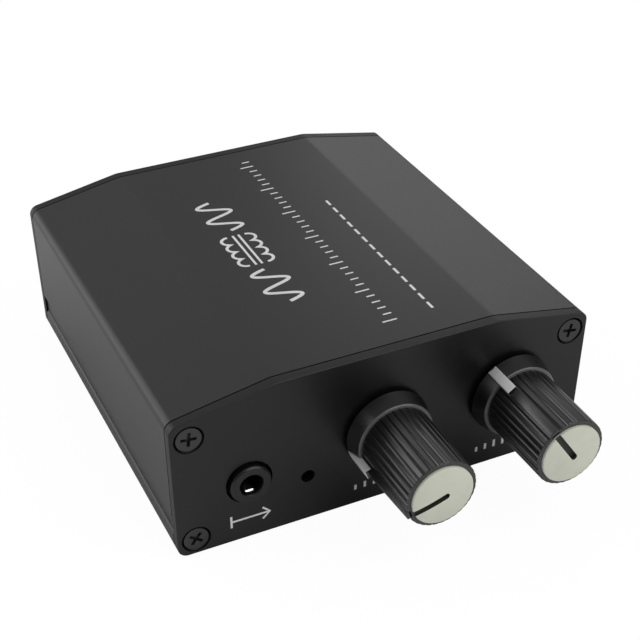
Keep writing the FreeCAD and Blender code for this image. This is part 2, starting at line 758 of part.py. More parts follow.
def control_housing(side, x):
    """Moulded housing behind the plate, with the chamber of the rotor."""
    y = -panel_back + s.control_plate
    half = s.control_width / 2
    low = s.control_height - s.control_below
    high = s.control_height + s.control_above
    block = box(side + "_housing_block", x - half, x + half, y, y + s.control_depth, low, high)
    depth = s.rotor_thickness + 2 * s.rotor_play
    chamber = cylinder(side + "_rotor_chamber", s.rotor_radius + s.rotor_play, depth,
                       x, y + depth, s.control_height, forward=True)
    reach = s.control_depth - s.control_end_wall
    tunnel = cylinder(side + "_stub_tunnel", s.stub_radius + s.rotor_play, reach,
                      x, y + reach, s.control_height, forward=True)
    return finish(cut(side + "_control_housing", block, [chamber, tunnel]), side + "_control_housing")


def control_pins(side, x):
    """Six straight pins from the underside of the housing through the board."""
    pins = []
    for row in pin_rows:
        for column in (-1, 0, 1):
            y = -panel_back + s.control_plate + row
            pins.append(square_pin(f"{side}_control_pin_{len(pins)}", x + column * s.control_pin_pitch, y,
                                   board_under - s.pin_below, s.control_height - s.control_below))
    return finish(group(side + "_control_pins", pins), side + "_control_pins")


def control_washer(side, x):
    """Toothed washer between panel and nut: a ring with pointed teeth round its rim."""
    body = new_body(side + "_control_washer")
    ring = new_sketch(body, side + "_washer_ring", "XZ_Plane")
    add_circle(ring, 0.0, 0.0, s.washer_radius)
    add_circle(ring, 0.0, 0.0, s.bushing_radius + s.thread_play)
    pad(body, ring, s.washer_thickness)
    tooth = new_sketch(body, side + "_washer_tooth", "XZ_Plane")
    root = s.washer_radius - s.washer_tooth
    add_outline(tooth, [
        (-s.washer_tooth, root),
        (s.washer_tooth, root),
        (0.0, s.washer_radius + s.washer_tooth),
    ])
    point = pad(body, tooth, s.washer_thickness)
    round_pattern(body, point, s.washer_teeth)
    place(body, x, -panel_face, s.control_height)
    return finish(body, side + "_control_washer")


def control_nut(side, x):
    """Hexagon nut with turned corners at its front face."""
    body = new_body(side + "_control_nut")
    corner = s.nut_flats / math.sqrt(3.0)
    hexagon = new_sketch(body, side + "_nut_hexagon", "XZ_Plane")
    add_outline(hexagon, [
        (corner, 0.0),
        (corner / 2, s.nut_flats / 2),
        (-corner / 2, s.nut_flats / 2),
        (-corner, 0.0),
        (-corner / 2, -s.nut_flats / 2),
        (corner / 2, -s.nut_flats / 2),
    ])
    pad(body, hexagon, s.nut_thickness)
    bore = new_sketch(body, side + "_nut_bore", "XZ_Plane", s.nut_thickness)
    add_circle(bore, 0.0, 0.0, s.bushing_radius + s.thread_play)
    pocket(body, bore, s.nut_thickness)
    place(body, x, -panel_face - s.washer_thickness, s.control_height)
    return finish(body, side + "_control_nut")


def control_shaft(side, x, pointer):
    """Shaft with a stub inside the housing and a flat along its end."""
    tip = s.panel_thickness + s.knob_gap + s.bore_depth - s.shaft_end_gap
    inner = s.control_plate + s.rotor_play
    stub_end = s.control_plate + s.control_depth - s.control_end_wall - s.rotor_play
    body = new_body(side + "_control_shaft")
    profile = new_sketch(body, side + "_shaft_profile", "XY_Plane")
    add_outline(profile, [
        (0.0, -tip),
        (s.shaft_radius - s.collar_edge, -tip),
        (s.shaft_radius, s.collar_edge - tip),
        (s.shaft_radius, inner - s.rotor_play),
        (s.stub_radius, inner - s.rotor_play),
        (s.stub_radius, stub_end),
        (0.0, stub_end),
    ])
    revolve(body, profile)
    flat = new_sketch(body, side + "_shaft_flat", "XZ_Plane", tip)
    add_outline(flat, rectangle(-s.shaft_radius, s.shaft_radius, s.flat_offset, s.shaft_radius + s.collar_edge))
    pocket(body, flat, s.flat_length)
    place(body, x, -panel_back, s.control_height)
    turn_to_pointer(body, pointer)
    return finish(body, side + "_control_shaft")


def control_rotor(side, x):
    """Wiper rotor pressed on the shaft's stub."""
    body = new_body(side + "_control_rotor")
    disc = new_sketch(body, side + "_rotor_disc", "XZ_Plane")
    add_circle(disc, 0.0, 0.0, s.rotor_radius)
    add_circle(disc, 0.0, 0.0, s.stub_radius)
    pad(body, disc, s.rotor_thickness)
    y = -panel_back + s.control_plate + s.rotor_play + s.rotor_thickness
    place(body, x, y, s.control_height)
    return finish(body, side + "_control_rotor")


# Knobs

def knob_body(side, x, pointer):
    """Collar, fluted grip with a rib along it, pointer bar, hollows for nut and bushing, keyed bore."""
    body = new_body(side + "_knob_body")
    bore = s.shaft_radius + s.bore_play
    profile = new_sketch(body, side + "_knob_profile", "XY_Plane")
    seat = s.grip_height - s.cap_seat_depth
    seat_radius = s.cap_radius + s.cap_play
    front = s.collar_radius - s.collar_taper
    add_outline(profile, [
        (0.0, -s.bore_depth),
        (bore, -s.bore_depth),
        (bore, -s.bushing_recess_depth),
        (s.bushing_recess_radius, -s.bushing_recess_depth),
        (s.bushing_recess_radius, -s.nut_recess_depth),
        (s.nut_recess_radius, -s.nut_recess_depth),
        (s.nut_recess_radius, 0.0),
        (s.collar_radius, 0.0),
        (front, s.collar_edge - s.collar_height),
        (front - s.collar_edge, -s.collar_height),
        (s.grip_radius, -s.collar_height),
        (s.grip_radius, -s.grip_height),
        (seat_radius, -s.grip_height),
        (seat_radius, -seat),
        (0.0, -seat),
    ])
    revolve(body, profile)
    flute = new_sketch(body, side + "_flute", "XZ_Plane", s.grip_height)
    root = s.grip_radius - s.flute_depth
    mouth = s.grip_radius + s.flute_margin
    half = s.flute_width / 2 * (s.flute_depth + s.flute_margin) / s.flute_depth
    add_outline(flute, [(0.0, root), (half, mouth), (-half, mouth)])
    groove = pocket(body, flute, s.grip_height - s.collar_height)
    round_pattern(body, groove, s.flute_count)
    bar = new_sketch(body, side + "_pointer_bar", "XZ_Plane")
    half_bar = s.pointer_width / 2
    crown = s.collar_radius - s.pointer_sink
    add_outline(bar, rectangle(-half_bar, half_bar, s.nut_recess_radius + s.collar_edge, crown))
    pad(body, bar, s.pointer_length)
    rib = new_sketch(body, side + "_grip_rib", "XZ_Plane", s.collar_height)
    add_outline(rib, rectangle(-half_bar, half_bar, s.rib_root, s.rib_crown))
    pad(body, rib, s.grip_height - s.collar_height)
    key = new_sketch(body, side + "_bore_key", "XZ_Plane", s.bore_depth - s.flat_length + s.shaft_end_gap)
    key_low = s.flat_offset + s.bore_play
    add_outline(key, rectangle(-bore, bore, key_low, bore + s.collar_edge))
    pad(body, key, s.flat_length - s.shaft_end_gap)
    place(body, x, -panel_face - s.knob_gap, s.control_height)
    turn_to_pointer(body, pointer)
    return finish(body, side + "_knob_body")


def knob_cap(side, x, pointer):
    """Pressed-in cap: a disc with a shallow crown and a slot from its rim past its centre."""
    seat = s.grip_height - s.cap_seat_depth
    name = side + "_knob_cap"
    disc = cylinder(name + "_disc", s.cap_radius, s.knob_height - seat, 0.0, -seat, 0.0, forward=True)
    ball_radius = (s.cap_radius * s.cap_radius + s.cap_dome * s.cap_dome) / (2 * s.cap_dome)
    ball = doc.addObject("Part::Sphere", name + "_crown")
    bind(ball, "Radius", ball_radius)
    place(ball, 0.0, ball_radius - s.knob_height, 0.0)
    crowned = doc.addObject("Part::Common", name + "_blank")
    crowned.Base = disc
    crowned.Tool = ball
    half = s.cap_slot_width / 2
    floor = s.cap_slot_depth - s.knob_height
    slot = box(name + "_slot", -half, half, -s.knob_height - s.cap_dome, floor,
               -s.cap_slot_past, s.cap_radius + s.cap_dome)
    cap = cut(name, crowned, [slot])
    place(cap, x, -panel_face - s.knob_gap, s.control_height)
    turn_to_pointer(cap, pointer)
    return finish(cap, name)


# Sockets and lamp

def audio_socket(node, x, forward):
    """A 3.5 mm socket: housing on the board, nose through the panel, windows for the contacts."""
    half = s.socket_width / 2
    proud = s.panel_thickness + s.socket_proud
    block = box(node + "_block", -half, half, 0.0, s.socket_depth, -s.socket_rise, s.socket_above)
    body = new_body(node + "_nose")
    profile = new_sketch(body, node + "_nose_profile", "XY_Plane")
    edge = s.socket_nose_radius - s.socket_nose_edge
    add_outline(profile, [
        (0.0, 0.0),
        (s.socket_nose_radius, 0.0),
        (s.socket_nose_radius, s.socket_nose_edge - proud),
        (edge, -proud),
        (0.0, -proud),
    ])
    revolve(body, profile)
    solid = fuse(node + "_solid", [block, body])
    bore = cylinder(node + "_bore", s.socket_bore_radius, s.socket_bore_length,
                    0.0, s.socket_bore_length - proud, 0.0, forward=True)
    mouth = doc.addObject("Part::Cone", node + "_mouth")
    mouth.Placement.Rotation = Rotation(Vector(1, 0, 0), 90)
    bind(mouth, "Radius1", s.socket_bore_radius)
    bind(mouth, "Radius2", s.socket_bore_radius + 2 * s.socket_mouth)
    bind(mouth, "Height", 2 * s.socket_mouth_depth)
    place(mouth, 0.0, s.socket_mouth_depth - proud, 0.0)
    window = s.contact_width / 2 + s.contact_gap
    spring_low = s.socket_bore_radius + s.contact_gap + s.contact_thickness
    lower = box(node + "_lower_window", -window, window, s.contact_start - proud, s.socket_depth * 0.75,
                -spring_low - s.contact_gap - s.contact_ramp, 0.0)
    tail = box(node + "_tail_window", -window, window, s.socket_depth * 0.75 - 3 * s.contact_thickness,
               s.socket_depth * 0.75, -s.socket_rise, -s.socket_bore_radius)
    upper = box(node + "_upper_window", -window, window, s.contact_thickness, s.socket_depth,
                0.0, spring_low + s.contact_gap)
    shape = cut(node, solid, [bore, mouth, lower, tail, upper])
    if forward > 0:
        turned_round(shape)
    place(shape, x, forward * panel_back, socket_height)
    return finish(shape, node)


def socket_contacts(node, x, forward):
    """Lower and upper contact springs with their tails on the board."""
    proud = s.panel_thickness + s.socket_proud
    near = s.socket_bore_radius + s.contact_gap
    far = near + s.contact_thickness
    start = s.contact_start + s.contact_gap - proud
    tail = s.socket_depth * 0.75 - s.contact_gap
    skin = s.contact_thickness
    bend = start + s.contact_ramp
    lower = prism(node + "_lower", [
        (start, -near - s.contact_ramp), (bend, -near), (tail, -near), (tail, -s.socket_rise),
        (tail - skin, -s.socket_rise), (tail - skin, -far), (bend, -far), (start, -far - s.contact_ramp),
    ], 0.0, s.contact_width)
    back = s.socket_depth + skin
    upper = prism(node + "_upper", [
        (s.contact_thickness + s.contact_gap, far), (back + skin, far), (back + skin, skin - s.socket_rise),
        (back + s.contact_foot, skin - s.socket_rise), (back + s.contact_foot, -s.socket_rise),
        (back, -s.socket_rise), (back, near), (s.contact_thickness + s.contact_gap, near),
    ], 0.0, s.contact_width)
    pair = group(node, [lower, upper])
    if forward > 0:
        turned_round(pair)
    place(pair, x, forward * panel_back, socket_height)
    return finish(pair, node)


def indicator_lamp():
    """Small round lamp whose tip lies behind its panel hole, and its two leads."""
    body = new_body("indicator_lamp")
    profile = new_sketch(body, "lamp_profile", "XY_Plane")
    flange = s.lamp_radius + s.lamp_hole_play
    tip = s.lamp_set_back
    end = s.lamp_set_back + s.lamp_length
    slope = s.lamp_radius / 3
    add_outline(profile, [
        (0.0, tip),
        (s.lamp_radius - 2 * slope, tip + slope / 4),
        (s.lamp_radius - slope / 2, tip + slope),
        (s.lamp_radius, tip + 2 * slope),
        (s.lamp_radius, end),
        (flange, end),
        (flange, end + slope),
        (0.0, end + slope),
    ])
    revolve(body, profile)
    place(body, s.lamp_x, -panel_back, lamp_height)
    finish(body, "indicator_lamp")
    lead = s.lamp_radius * 0.4
    start = end + slope
    leads = []
    for side in (-1, 1):
        leads.append(prism(f"lamp_lead_{side + 1}", [
            (start, lead / 2), (start + 3 * lead, lead / 2), (start + 3 * lead, lead - s.lamp_rise),
            (start + 5 * lead, lead - s.lamp_rise), (start + 5 * lead, -s.lamp_rise),
            (start + 2 * lead, -s.lamp_rise), (start + 2 * lead, -lead / 2), (start, -lead / 2),
        ], side * s.lamp_radius / 2, lead))
    pair = group("indicator_lamp_leads", leads)
    place(pair, s.lamp_x, -panel_back, lamp_height)
    finish(pair, "indicator_lamp_leads")


def power_lug_places():
    """The power socket's two lugs, as x and y limits."""
    half = s.power_lug_width / 2
    rear = panel_back - s.power_depth
    side_x = s.power_x - s.power_width / 2
    middle = panel_back - s.power_depth / 2
    return [
        (s.power_x - half, s.power_x + half, rear - s.power_lug_thickness, rear),
        (side_x - s.power_lug_thickness, side_x, middle - half, middle + half),
    ]


def power_socket():
    """Barrel socket with its centre pin and two lugs through the board."""
    half = s.power_width / 2
    inner = panel_back - s.power_depth
    high = power_height + s.power_above
    block = box("power_block", s.power_x - half, s.power_x + half, inner, panel_back, s.board_top, high)
    bore = cylinder("power_bore", s.power_bore_radius, s.power_bore_depth,
                    s.power_x, panel_back, power_height, forward=True)
    through = cylinder("power_pin_hole", s.power_pin_radius, s.power_depth,
                       s.power_x, panel_back, power_height, forward=True)
    finish(cut("power_socket", block, [bore, through]), "power_socket")

    body = new_body("power_socket_pin")
    profile = new_sketch(body, "power_pin_profile", "XY_Plane")
    tip = s.power_pin_set_back
    edge = s.power_pin_radius / 2
    add_outline(profile, [
        (0.0, tip),
        (s.power_pin_radius - edge, tip),
        (s.power_pin_radius, tip + edge),
        (s.power_pin_radius, s.power_depth),
        (0.0, s.power_depth),
    ])
    revolve(body, profile)
    turned_round(body)
    place(body, s.power_x, panel_back, power_height)
    finish(body, "power_socket_pin")

    lugs = []
    for number, (x0, x1, y0, y1) in enumerate(power_lug_places()):
        lugs.append(box(f"power_lug_{number}", x0, x1, y0, y1, board_under - s.pin_below, power_height))
    finish(group("power_socket_lugs", lugs), "power_socket_lugs")


# Pieces on the board

def across(share):
    """A place across the board, from the middle to its edge in shares."""
    return board_half * share


transformer_x = [across(share) for share in TRANSFORMER_SHARES]


def transformer_pins_at(x):
    return [(x + column * s.transformer_pin_pitch, s.transformer_y + row * s.transformer_pin_row)
            for row in (-1, 1) for column in (-1, 0, 1)]


def transformer_pin_places():
    return [pin for x in transformer_x for pin in transformer_pins_at(x)]


def transformer(number, x):
    """Isolation transformer: laminated core, bobbin, winding and six pins."""
    y = s.transformer_y
    node = f"transformer_{number}"
    low = s.board_top + s.core_rise
    high = low + s.core_height
    half = s.core_width / 2
    stack = s.core_stack / 2
    leg = s.core_leg / 2
    window = half - s.core_outer_leg
    floor = low + s.core_yoke
    roof = high - s.core_yoke
    block = box(node + "_laminations", x - half, x + half, y - stack, y + stack, low, high)
    windows = [box(f"{node}_window_{side + 1}", x + min(side * leg, side * window, key=value_of),
                   x + max(side * leg, side * window, key=value_of), y - stack, y + stack, floor, roof)
               for side in (-1, 1)]
    finish(cut(node + "_core", block, windows), node + "_core")

    play = s.bobbin_play
    wide = window - play
    length = s.bobbin_length / 2
    tube_x = leg + play + s.bobbin_wall
    tube_y = stack + play + s.bobbin_wall
    flange_top = floor + s.bobbin_flange
    flange_under = roof - s.bobbin_flange
    pieces = [
        box(node + "_tube", x - tube_x, x + tube_x, y - tube_y, y + tube_y, floor, roof),
        box(node + "_lower_flange", x - wide, x + wide, y - length, y + length, floor, flange_top),
        box(node + "_upper_flange", x - wide, x + wide, y - length, y + length, flange_under, roof),
    ]
    for side in (-1, 1):
        near, far = sorted((side * (stack + play), side * length), key=value_of)
        pieces.append(box(f"{node}_foot_{side + 1}", x - wide, x + wide, y + near, y + far, s.board_top, floor))
    solid = fuse(node + "_bobbin_solid", pieces)
    core_hole = box(node + "_core_hole", x - leg - play, x + leg + play, y - stack - play, y + stack + play,
                    floor, roof)
    finish(cut(node + "_bobbin", solid, [core_hole]), node + "_bobbin")

    coil_x = wide - s.winding_inset
    coil_y = length - s.winding_inset
    coil = box(node + "_coil", x - coil_x, x + coil_x, y - coil_y, y + coil_y, flange_top, flange_under)
    former = box(node + "_coil_hole", x - tube_x, x + tube_x, y - tube_y, y + tube_y, flange_top, flange_under)
    finish(cut(node + "_winding", coil, [former]), node + "_winding")

    pins = []
    for pin_x, pin_y in transformer_pins_at(x):
        pins.append(square_pin(f"{node}_pin_{len(pins)}", pin_x, pin_y, board_under - s.pin_below, s.board_top))
    finish(group(node + "_pins", pins), node + "_pins")


def gull_lead(name, x, y, side, body_half, reach, rise):
    """A bent lead in the XZ plane, from the side of a body down to the board."""
    body = new_body(name)
    sketch = new_sketch(body, name + "_profile", "XZ_Plane", -1 * y)
    knee = body_half + reach / 2
    outer = body_half + reach
    corners = [
        (body_half, rise + s.lead_thickness),
        (knee, rise + s.lead_thickness),
        (knee, s.lead_thickness),
        (outer, s.lead_thickness),
        (outer, 0.0),
        (knee - s.lead_thickness, 0.0),
        (knee - s.lead_thickness, rise),
        (body_half, rise),
    ]
    add_outline(sketch, [(x + side * distance, s.board_top + height) for distance, height in corners])
    pad(body, sketch, s.lead_width, middle=True)
    return body


def moulded_chip(node, x, y, width, length, height):
    low = s.board_top + s.chip_stand
    chip = box(node, x - width / 2, x + width / 2, y - length / 2, y + length / 2, low, low + height)
    return finish(chip, node)


def amplifier_chips():
    leads = []
    for number, share in enumerate(AMPLIFIER_SHARES, start=1):
        x = across(share)
        moulded_chip(f"amplifier_chip_{number}", x, s.amplifier_y,
                     s.amplifier_width, s.amplifier_length, s.amplifier_height)
        for side in (-1, 1):
            for row in range(4):
                lead_y = s.amplifier_y + (row - 1.5) * s.amplifier_lead_pitch
                leads.append(gull_lead(f"amplifier_lead_{len(leads)}", x, lead_y, side, s.amplifier_width / 2,
                                       s.amplifier_lead_reach, s.amplifier_lead_rise))
    finish(group("amplifier_leads", leads), "amplifier_leads")


def voltage_regulator():
    """Flat regulator with three leads and a wide tab."""
    x = across(REGULATOR_SHARE)
    y = s.regulator_y
    half = s.regulator_width / 2
    tab = s.regulator_tab_width / 2
    moulded_chip("voltage_regulator", x, y, s.regulator_width, s.regulator_length, s.regulator_height)
    leads = [gull_lead(f"regulator_lead_{row}", x, y + (row - 1) * s.regulator_lead_pitch, -1, half,
                       s.regulator_lead_reach, s.regulator_lead_rise)
             for row in range(3)]
    leads.append(box("regulator_tab", x + half, x + half + s.regulator_lead_reach, y - tab, y + tab,
                     s.board_top, s.board_top + s.regulator_tab_thickness))
    finish(group("voltage_regulator_leads", leads), "voltage_regulator_leads")


def electrolytic_capacitor(number, x, y):
    """Can with an eased top, on a moulded base with two cut corners."""
    half = s.can_base / 2
    corner = s.can_base / 8
    base = new_body(f"capacitor_base_{number}")
    outline = new_sketch(base, f"capacitor_base_outline_{number}", "XY_Plane")
    add_outline(outline, [
        (-half, -half), (half, -half), (half, half - corner), (half - corner, half),
        (corner - half, half), (-half, half - corner),
    ])
    pad(base, outline, s.can_base_height)
    place(base, x, y, s.board_top)
    finish(base, f"capacitor_base_{number}")

    can = new_body(f"capacitor_can_{number}")
    profile = new_sketch(can, f"capacitor_can_profile_{number}", "XZ_Plane")
    edge = s.can_radius / 10
    add_outline(profile, [
        (0.0, 0.0),
        (s.can_radius, 0.0),
        (s.can_radius, s.can_height - edge),
        (s.can_radius - edge, s.can_height),
        (0.0, s.can_height),
    ])
    revolve(can, profile)
    place(can, x, y, s.board_top + s.can_base_height)
    finish(can, f"capacitor_can_{number}")


def chip_row(node, shares, y, length, width, height):
    chips = []
    for number, share in enumerate(shares):
        x = across(share)
        chips.append(box(f"{node}_{number}", x - length / 2, x + length / 2, y - width / 2, y + width / 2,
                         s.board_top, s.board_top + height))
    finish(group(node, chips), node)


def board_pieces():
    for number, x in enumerate(transformer_x, start=1):
        transformer(number, x)
    amplifier_chips()
    voltage_regulator()
    for number, (share, depth) in enumerate(zip(CAPACITOR_SHARES, CAPACITOR_DEPTHS), start=1):
        electrolytic_capacitor(number, across(share), board_end * depth)
    chip_row("chip_resistors", RESISTOR_SHARES, s.resistor_y,
             s.resistor_length, s.resistor_width, s.resistor_height)
    chip_row("chip_capacitors", CERAMIC_SHARES, s.ceramic_y,
             s.ceramic_length, s.ceramic_width, s.ceramic_height)


# The whole amplifier

def controls():
    for side, x, pointer in (("left", s.left_knob_x, s.left_pointer), ("right", s.right_knob_x, s.right_pointer)):
        control_bushing(side, x)
        control_housing(side, x)
        control_pins(side, x)
        control_washer(side, x)
        control_nut(side, x)
        control_shaft(side, x, pointer)
        control_rotor(side, x)
        knob_body(side, x, pointer)
        knob_cap(side, x, pointer)


def sockets():
    for node, x, forward in (("output_socket", s.output_x, -1), ("input_socket_1", s.input_x_1, 1),
                             ("input_socket_2", s.input_x_2, 1)):
        audio_socket(node, x, forward)
        socket_contacts(node + "_contacts", x, forward)
    indicator_lamp()
    power_socket()


def build():
    upper_shell()
    lower_shell()
    front_panel()
    rear_panel()
    panel_screws("front_panel_screws", -1)
    panel_screws("rear_panel_screws", 1)
    circuit_board()
    controls()
    sockets()
    board_pieces()


def check():
    """Stops before anything is written if an object failed or a shape is unsound."""
    doc.recompute()
    for item in doc.Objects:
        if "Invalid" in item.State or "Error" in item.State:
            raise RuntimeError(f"{item.Name} did not recompute: {item.State}")
    for item in finished:
        if item.Shape.isNull() or not item.Shape.isValid():
            raise RuntimeError(f"{item.Label} has no sound shape")


def export():
    os.makedirs(OUTPUT_FOLDER, exist_ok=True)
    for item in finished:
        item.Shape.exportStep(os.path.join(OUTPUT_FOLDER, item.Label + ".step"))


build()
check()
export()
print(len(finished), "sub-parts written")
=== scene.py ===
"""Looks of a small audio isolation amplifier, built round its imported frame.

Everything is in metres, in the frame's own axes: X along the front panel, Y into the case, Z up.
Clock angles on the knobs count clockwise from the top, as seen from the front.
"""

import json
import math

import bmesh
import bpy
from bpy.props import FloatProperty, FloatVectorProperty, IntProperty, PointerProperty
from bpy.types import Operator, Panel, PropertyGroup
from mathutils import Matrix, Vector


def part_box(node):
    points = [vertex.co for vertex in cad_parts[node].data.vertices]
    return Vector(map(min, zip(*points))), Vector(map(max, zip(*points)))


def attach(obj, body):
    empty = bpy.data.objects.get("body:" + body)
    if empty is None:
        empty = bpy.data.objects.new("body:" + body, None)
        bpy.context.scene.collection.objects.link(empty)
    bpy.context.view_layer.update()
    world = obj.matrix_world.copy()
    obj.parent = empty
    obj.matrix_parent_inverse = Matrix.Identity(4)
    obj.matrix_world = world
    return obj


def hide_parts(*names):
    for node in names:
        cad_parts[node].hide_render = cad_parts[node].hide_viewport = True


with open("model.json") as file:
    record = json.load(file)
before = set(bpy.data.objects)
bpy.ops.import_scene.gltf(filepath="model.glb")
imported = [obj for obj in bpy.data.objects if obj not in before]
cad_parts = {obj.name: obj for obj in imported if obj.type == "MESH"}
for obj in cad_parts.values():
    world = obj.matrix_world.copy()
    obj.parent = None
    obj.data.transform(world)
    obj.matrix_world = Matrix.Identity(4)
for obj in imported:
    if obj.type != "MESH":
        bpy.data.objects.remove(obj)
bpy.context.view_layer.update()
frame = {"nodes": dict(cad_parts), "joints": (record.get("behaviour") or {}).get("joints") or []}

bl_info = {
    "name": "Audio isolation amplifier",
    "version": (1, 0, 0),
    "blender": (4, 5, 0),
    "location": "View3D > Sidebar > Amplifier",
    "description": "Dresses the case, panels, sockets and level knobs of a small "
                   "audio isolation amplifier",
    "category": "Object",
}

MM = 0.001
FULL_TURN = 2 * math.pi
MERGE = 1e-6
SIDES = ("left", "right")
SOCKETS = ("output_socket", "input_socket_1", "input_socket_2")


def node_size(node):
    low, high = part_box(node)
    return high - low


def node_centre(node):
    low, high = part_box(node)
    return (low + high) / 2


PANEL_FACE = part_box("front_panel")[0].y
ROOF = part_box("upper_shell")[1].z
KNOB_BODY = node_size("left_knob_body")
HINGES = {joint["name"].split("_")[0]: joint for joint in frame["joints"]}


class KnobSizes(PropertyGroup):
    """Sizes of a level knob, measured from its rear rim towards the front."""

    collar_radius: FloatProperty(
        name="Collar radius", description="Radius of the collar at the rear rim",
        default=KNOB_BODY.x / 2, unit="LENGTH", precision=5)
    collar_taper: FloatProperty(
        name="Collar taper", description="How much narrower the collar is at its front edge",
        default=0.65 * MM, unit="LENGTH", precision=5)
    collar_height: FloatProperty(
        name="Collar height", description="Collar from the rear rim to its front face",
        default=3.1 * MM, unit="LENGTH", precision=5)
    body_length: FloatProperty(
        name="Body length", description="Rear rim to the front edge of the grip",
        default=KNOB_BODY.y, unit="LENGTH", precision=5)
    grip_radius: FloatProperty(
        name="Grip radius", description="Grip at the collar, over the lands",
        default=6.25 * MM, unit="LENGTH", precision=5)
    grip_end_radius: FloatProperty(
        name="Grip end radius", description="Grip at its front edge, over the lands",
        default=6.12 * MM, unit="LENGTH", precision=5)
    flute_root: FloatProperty(
        name="Flute root", description="Radius to the bottom of a flute at the collar",
        default=6.02 * MM, unit="LENGTH", precision=5)
    flute_end_root: FloatProperty(
        name="Flute end root", description="Radius to the bottom of a flute at the front edge",
        default=5.92 * MM, unit="LENGTH", precision=5)
    flutes: IntProperty(
        name="Flutes", description="Number of flutes round the grip", default=32, min=8, max=64)
    seat_radius: FloatProperty(
        name="Cap seat radius", description="Wall round the cap", default=5.35 * MM,
        unit="LENGTH", precision=5)
    seat_depth: FloatProperty(
        name="Cap seat depth", description="Rear rim to the floor under the cap",
        default=16.65 * MM, unit="LENGTH", precision=5)
    pointer_width: FloatProperty(
        name="Pointer width", description="Width of the white bar", default=1.65 * MM,
        unit="LENGTH", precision=5)
    pointer_length: FloatProperty(
        name="Pointer length", description="White bar from the rear rim", default=6.2 * MM,
        unit="LENGTH", precision=5)
    rib_root: FloatProperty(
        name="Rib root", description="Shaft centre to the foot of the rib along the grip",
        default=5.5 * MM, unit="LENGTH", precision=5)
    rib_crown: FloatProperty(
        name="Rib crown", description="Shaft centre to the crown of the rib along the grip",
        default=7.15 * MM, unit="LENGTH", precision=5)
    rib_end: FloatProperty(
        name="Rib end", description="Shaft centre to the rib's crown at the front of the grip",
        default=6.45 * MM, unit="LENGTH", precision=5)
    nut_hollow: FloatProperty(
        name="Nut hollow", description="Radius of the hollow for the nut", default=6.2 * MM,
        unit="LENGTH", precision=5)
    nut_hollow_depth: FloatProperty(
        name="Nut hollow depth", description="Depth of the hollow for the nut", default=2.8 * MM,
        unit="LENGTH", precision=5)
    bushing_hollow: FloatProperty(
        name="Bushing hollow", description="Radius of the hollow for the bushing", default=4.2 * MM,
        unit="LENGTH", precision=5)
    bushing_hollow_depth: FloatProperty(
        name="Bushing hollow depth", description="Rear rim to the end of the bushing hollow",
        default=5.4 * MM, unit="LENGTH", precision=5)
    bore: FloatProperty(
        name="Bore", description="Radius of the bore for the shaft", default=3.03 * MM,
        unit="LENGTH", precision=5)
    bore_depth: FloatProperty(
        name="Bore depth", description="Rear rim to the end of the bore", default=15.0 * MM,
        unit="LENGTH", precision=5)


class CapSizes(PropertyGroup):
    """Sizes of the pale cap in a knob's end."""

    radius: FloatProperty(
        name="Radius", description="Outside of the cap", default=5.3 * MM,
        unit="LENGTH", precision=5)
    front: FloatProperty(
        name="Front", description="Rear rim of the knob to the crown of the cap",
        default=18.65 * MM, unit="LENGTH", precision=5)
    dome: FloatProperty(
        name="Dome", description="Rise of the crown above the rim", default=0.4 * MM,
        unit="LENGTH", precision=5)
    rim_round: FloatProperty(
        name="Rim rounding", description="Rounding of the cap's rim", default=0.18 * MM,
        unit="LENGTH", precision=5)
    slot_width: FloatProperty(
        name="Slot width", description="Width of the slot", default=1.05 * MM,
        unit="LENGTH", precision=5)
    slot_depth: FloatProperty(
        name="Slot depth", description="Floor of the slot below the crown", default=0.8 * MM,
        unit="LENGTH", precision=5)
    slot_past: FloatProperty(
        name="Slot past centre", description="Rounded end of the slot beyond the middle",
        default=0.9 * MM, unit="LENGTH", precision=5)


class PrintSizes(PropertyGroup):
    """Sizes of the white printed marks."""

    stroke: FloatProperty(
        name="Stroke", description="Width of a fine printed line", default=0.34 * MM,
        unit="LENGTH", precision=5)
    bold: FloatProperty(
        name="Bold stroke", description="Width of a bold printed line", default=0.72 * MM,
        unit="LENGTH", precision=5)
    ink: FloatProperty(
        name="Ink", description="Height of the ink over the surface", default=0.02 * MM,
        unit="LENGTH", precision=6)


class Finish(PropertyGroup):
    """Colours of the finishes, linear."""

    anodised: FloatVectorProperty(
        name="Case", description="Black anodised case", subtype="COLOR", size=3,
        default=(0.006, 0.006, 0.0063), min=0, max=1)
    panel: FloatVectorProperty(
        name="Panels", description="Black anodised end panels", subtype="COLOR", size=3,
        default=(0.003, 0.003, 0.0038), min=0, max=1)
    moulding: FloatVectorProperty(
        name="Moulding", description="Black moulded plastic", subtype="COLOR", size=3,
        default=(0.005, 0.005, 0.0068), min=0, max=1)
    cap: FloatVectorProperty(
        name="Cap", description="Pale cap in the knob's end", subtype="COLOR", size=3,
        default=(0.72, 0.74, 0.62), min=0, max=1)
    ink: FloatVectorProperty(
        name="Ink", description="White print and pointer paint", subtype="COLOR", size=3,
        default=(0.78, 0.78, 0.78), min=0, max=1)


class StudioSettings(PropertyGroup):
    """Light and camera."""

    lens: FloatProperty(
        name="Lens", description="Focal length of the camera", default=73.766, unit="CAMERA")
    top_light: FloatProperty(
        name="Top light", description="Power of the overhead panel", default=0.39, unit="POWER")
    front_light: FloatProperty(
        name="Front light", description="Power of the panel at the front right", default=3.3,
        unit="POWER")
    side_light: FloatProperty(
        name="Side light", description="Power of the panel at the left", default=3.3, unit="POWER")
    back_light: FloatProperty(
        name="Back light", description="Power of the panel behind", default=0.5, unit="POWER")
    ambient: FloatProperty(
        name="Ambient", description="Strength of the surrounding light", default=0.25)


# Materials

# The part of a pattern's output that a tint or a gloss spreads over
PATTERN_SPAN = (0.3, 0.7)


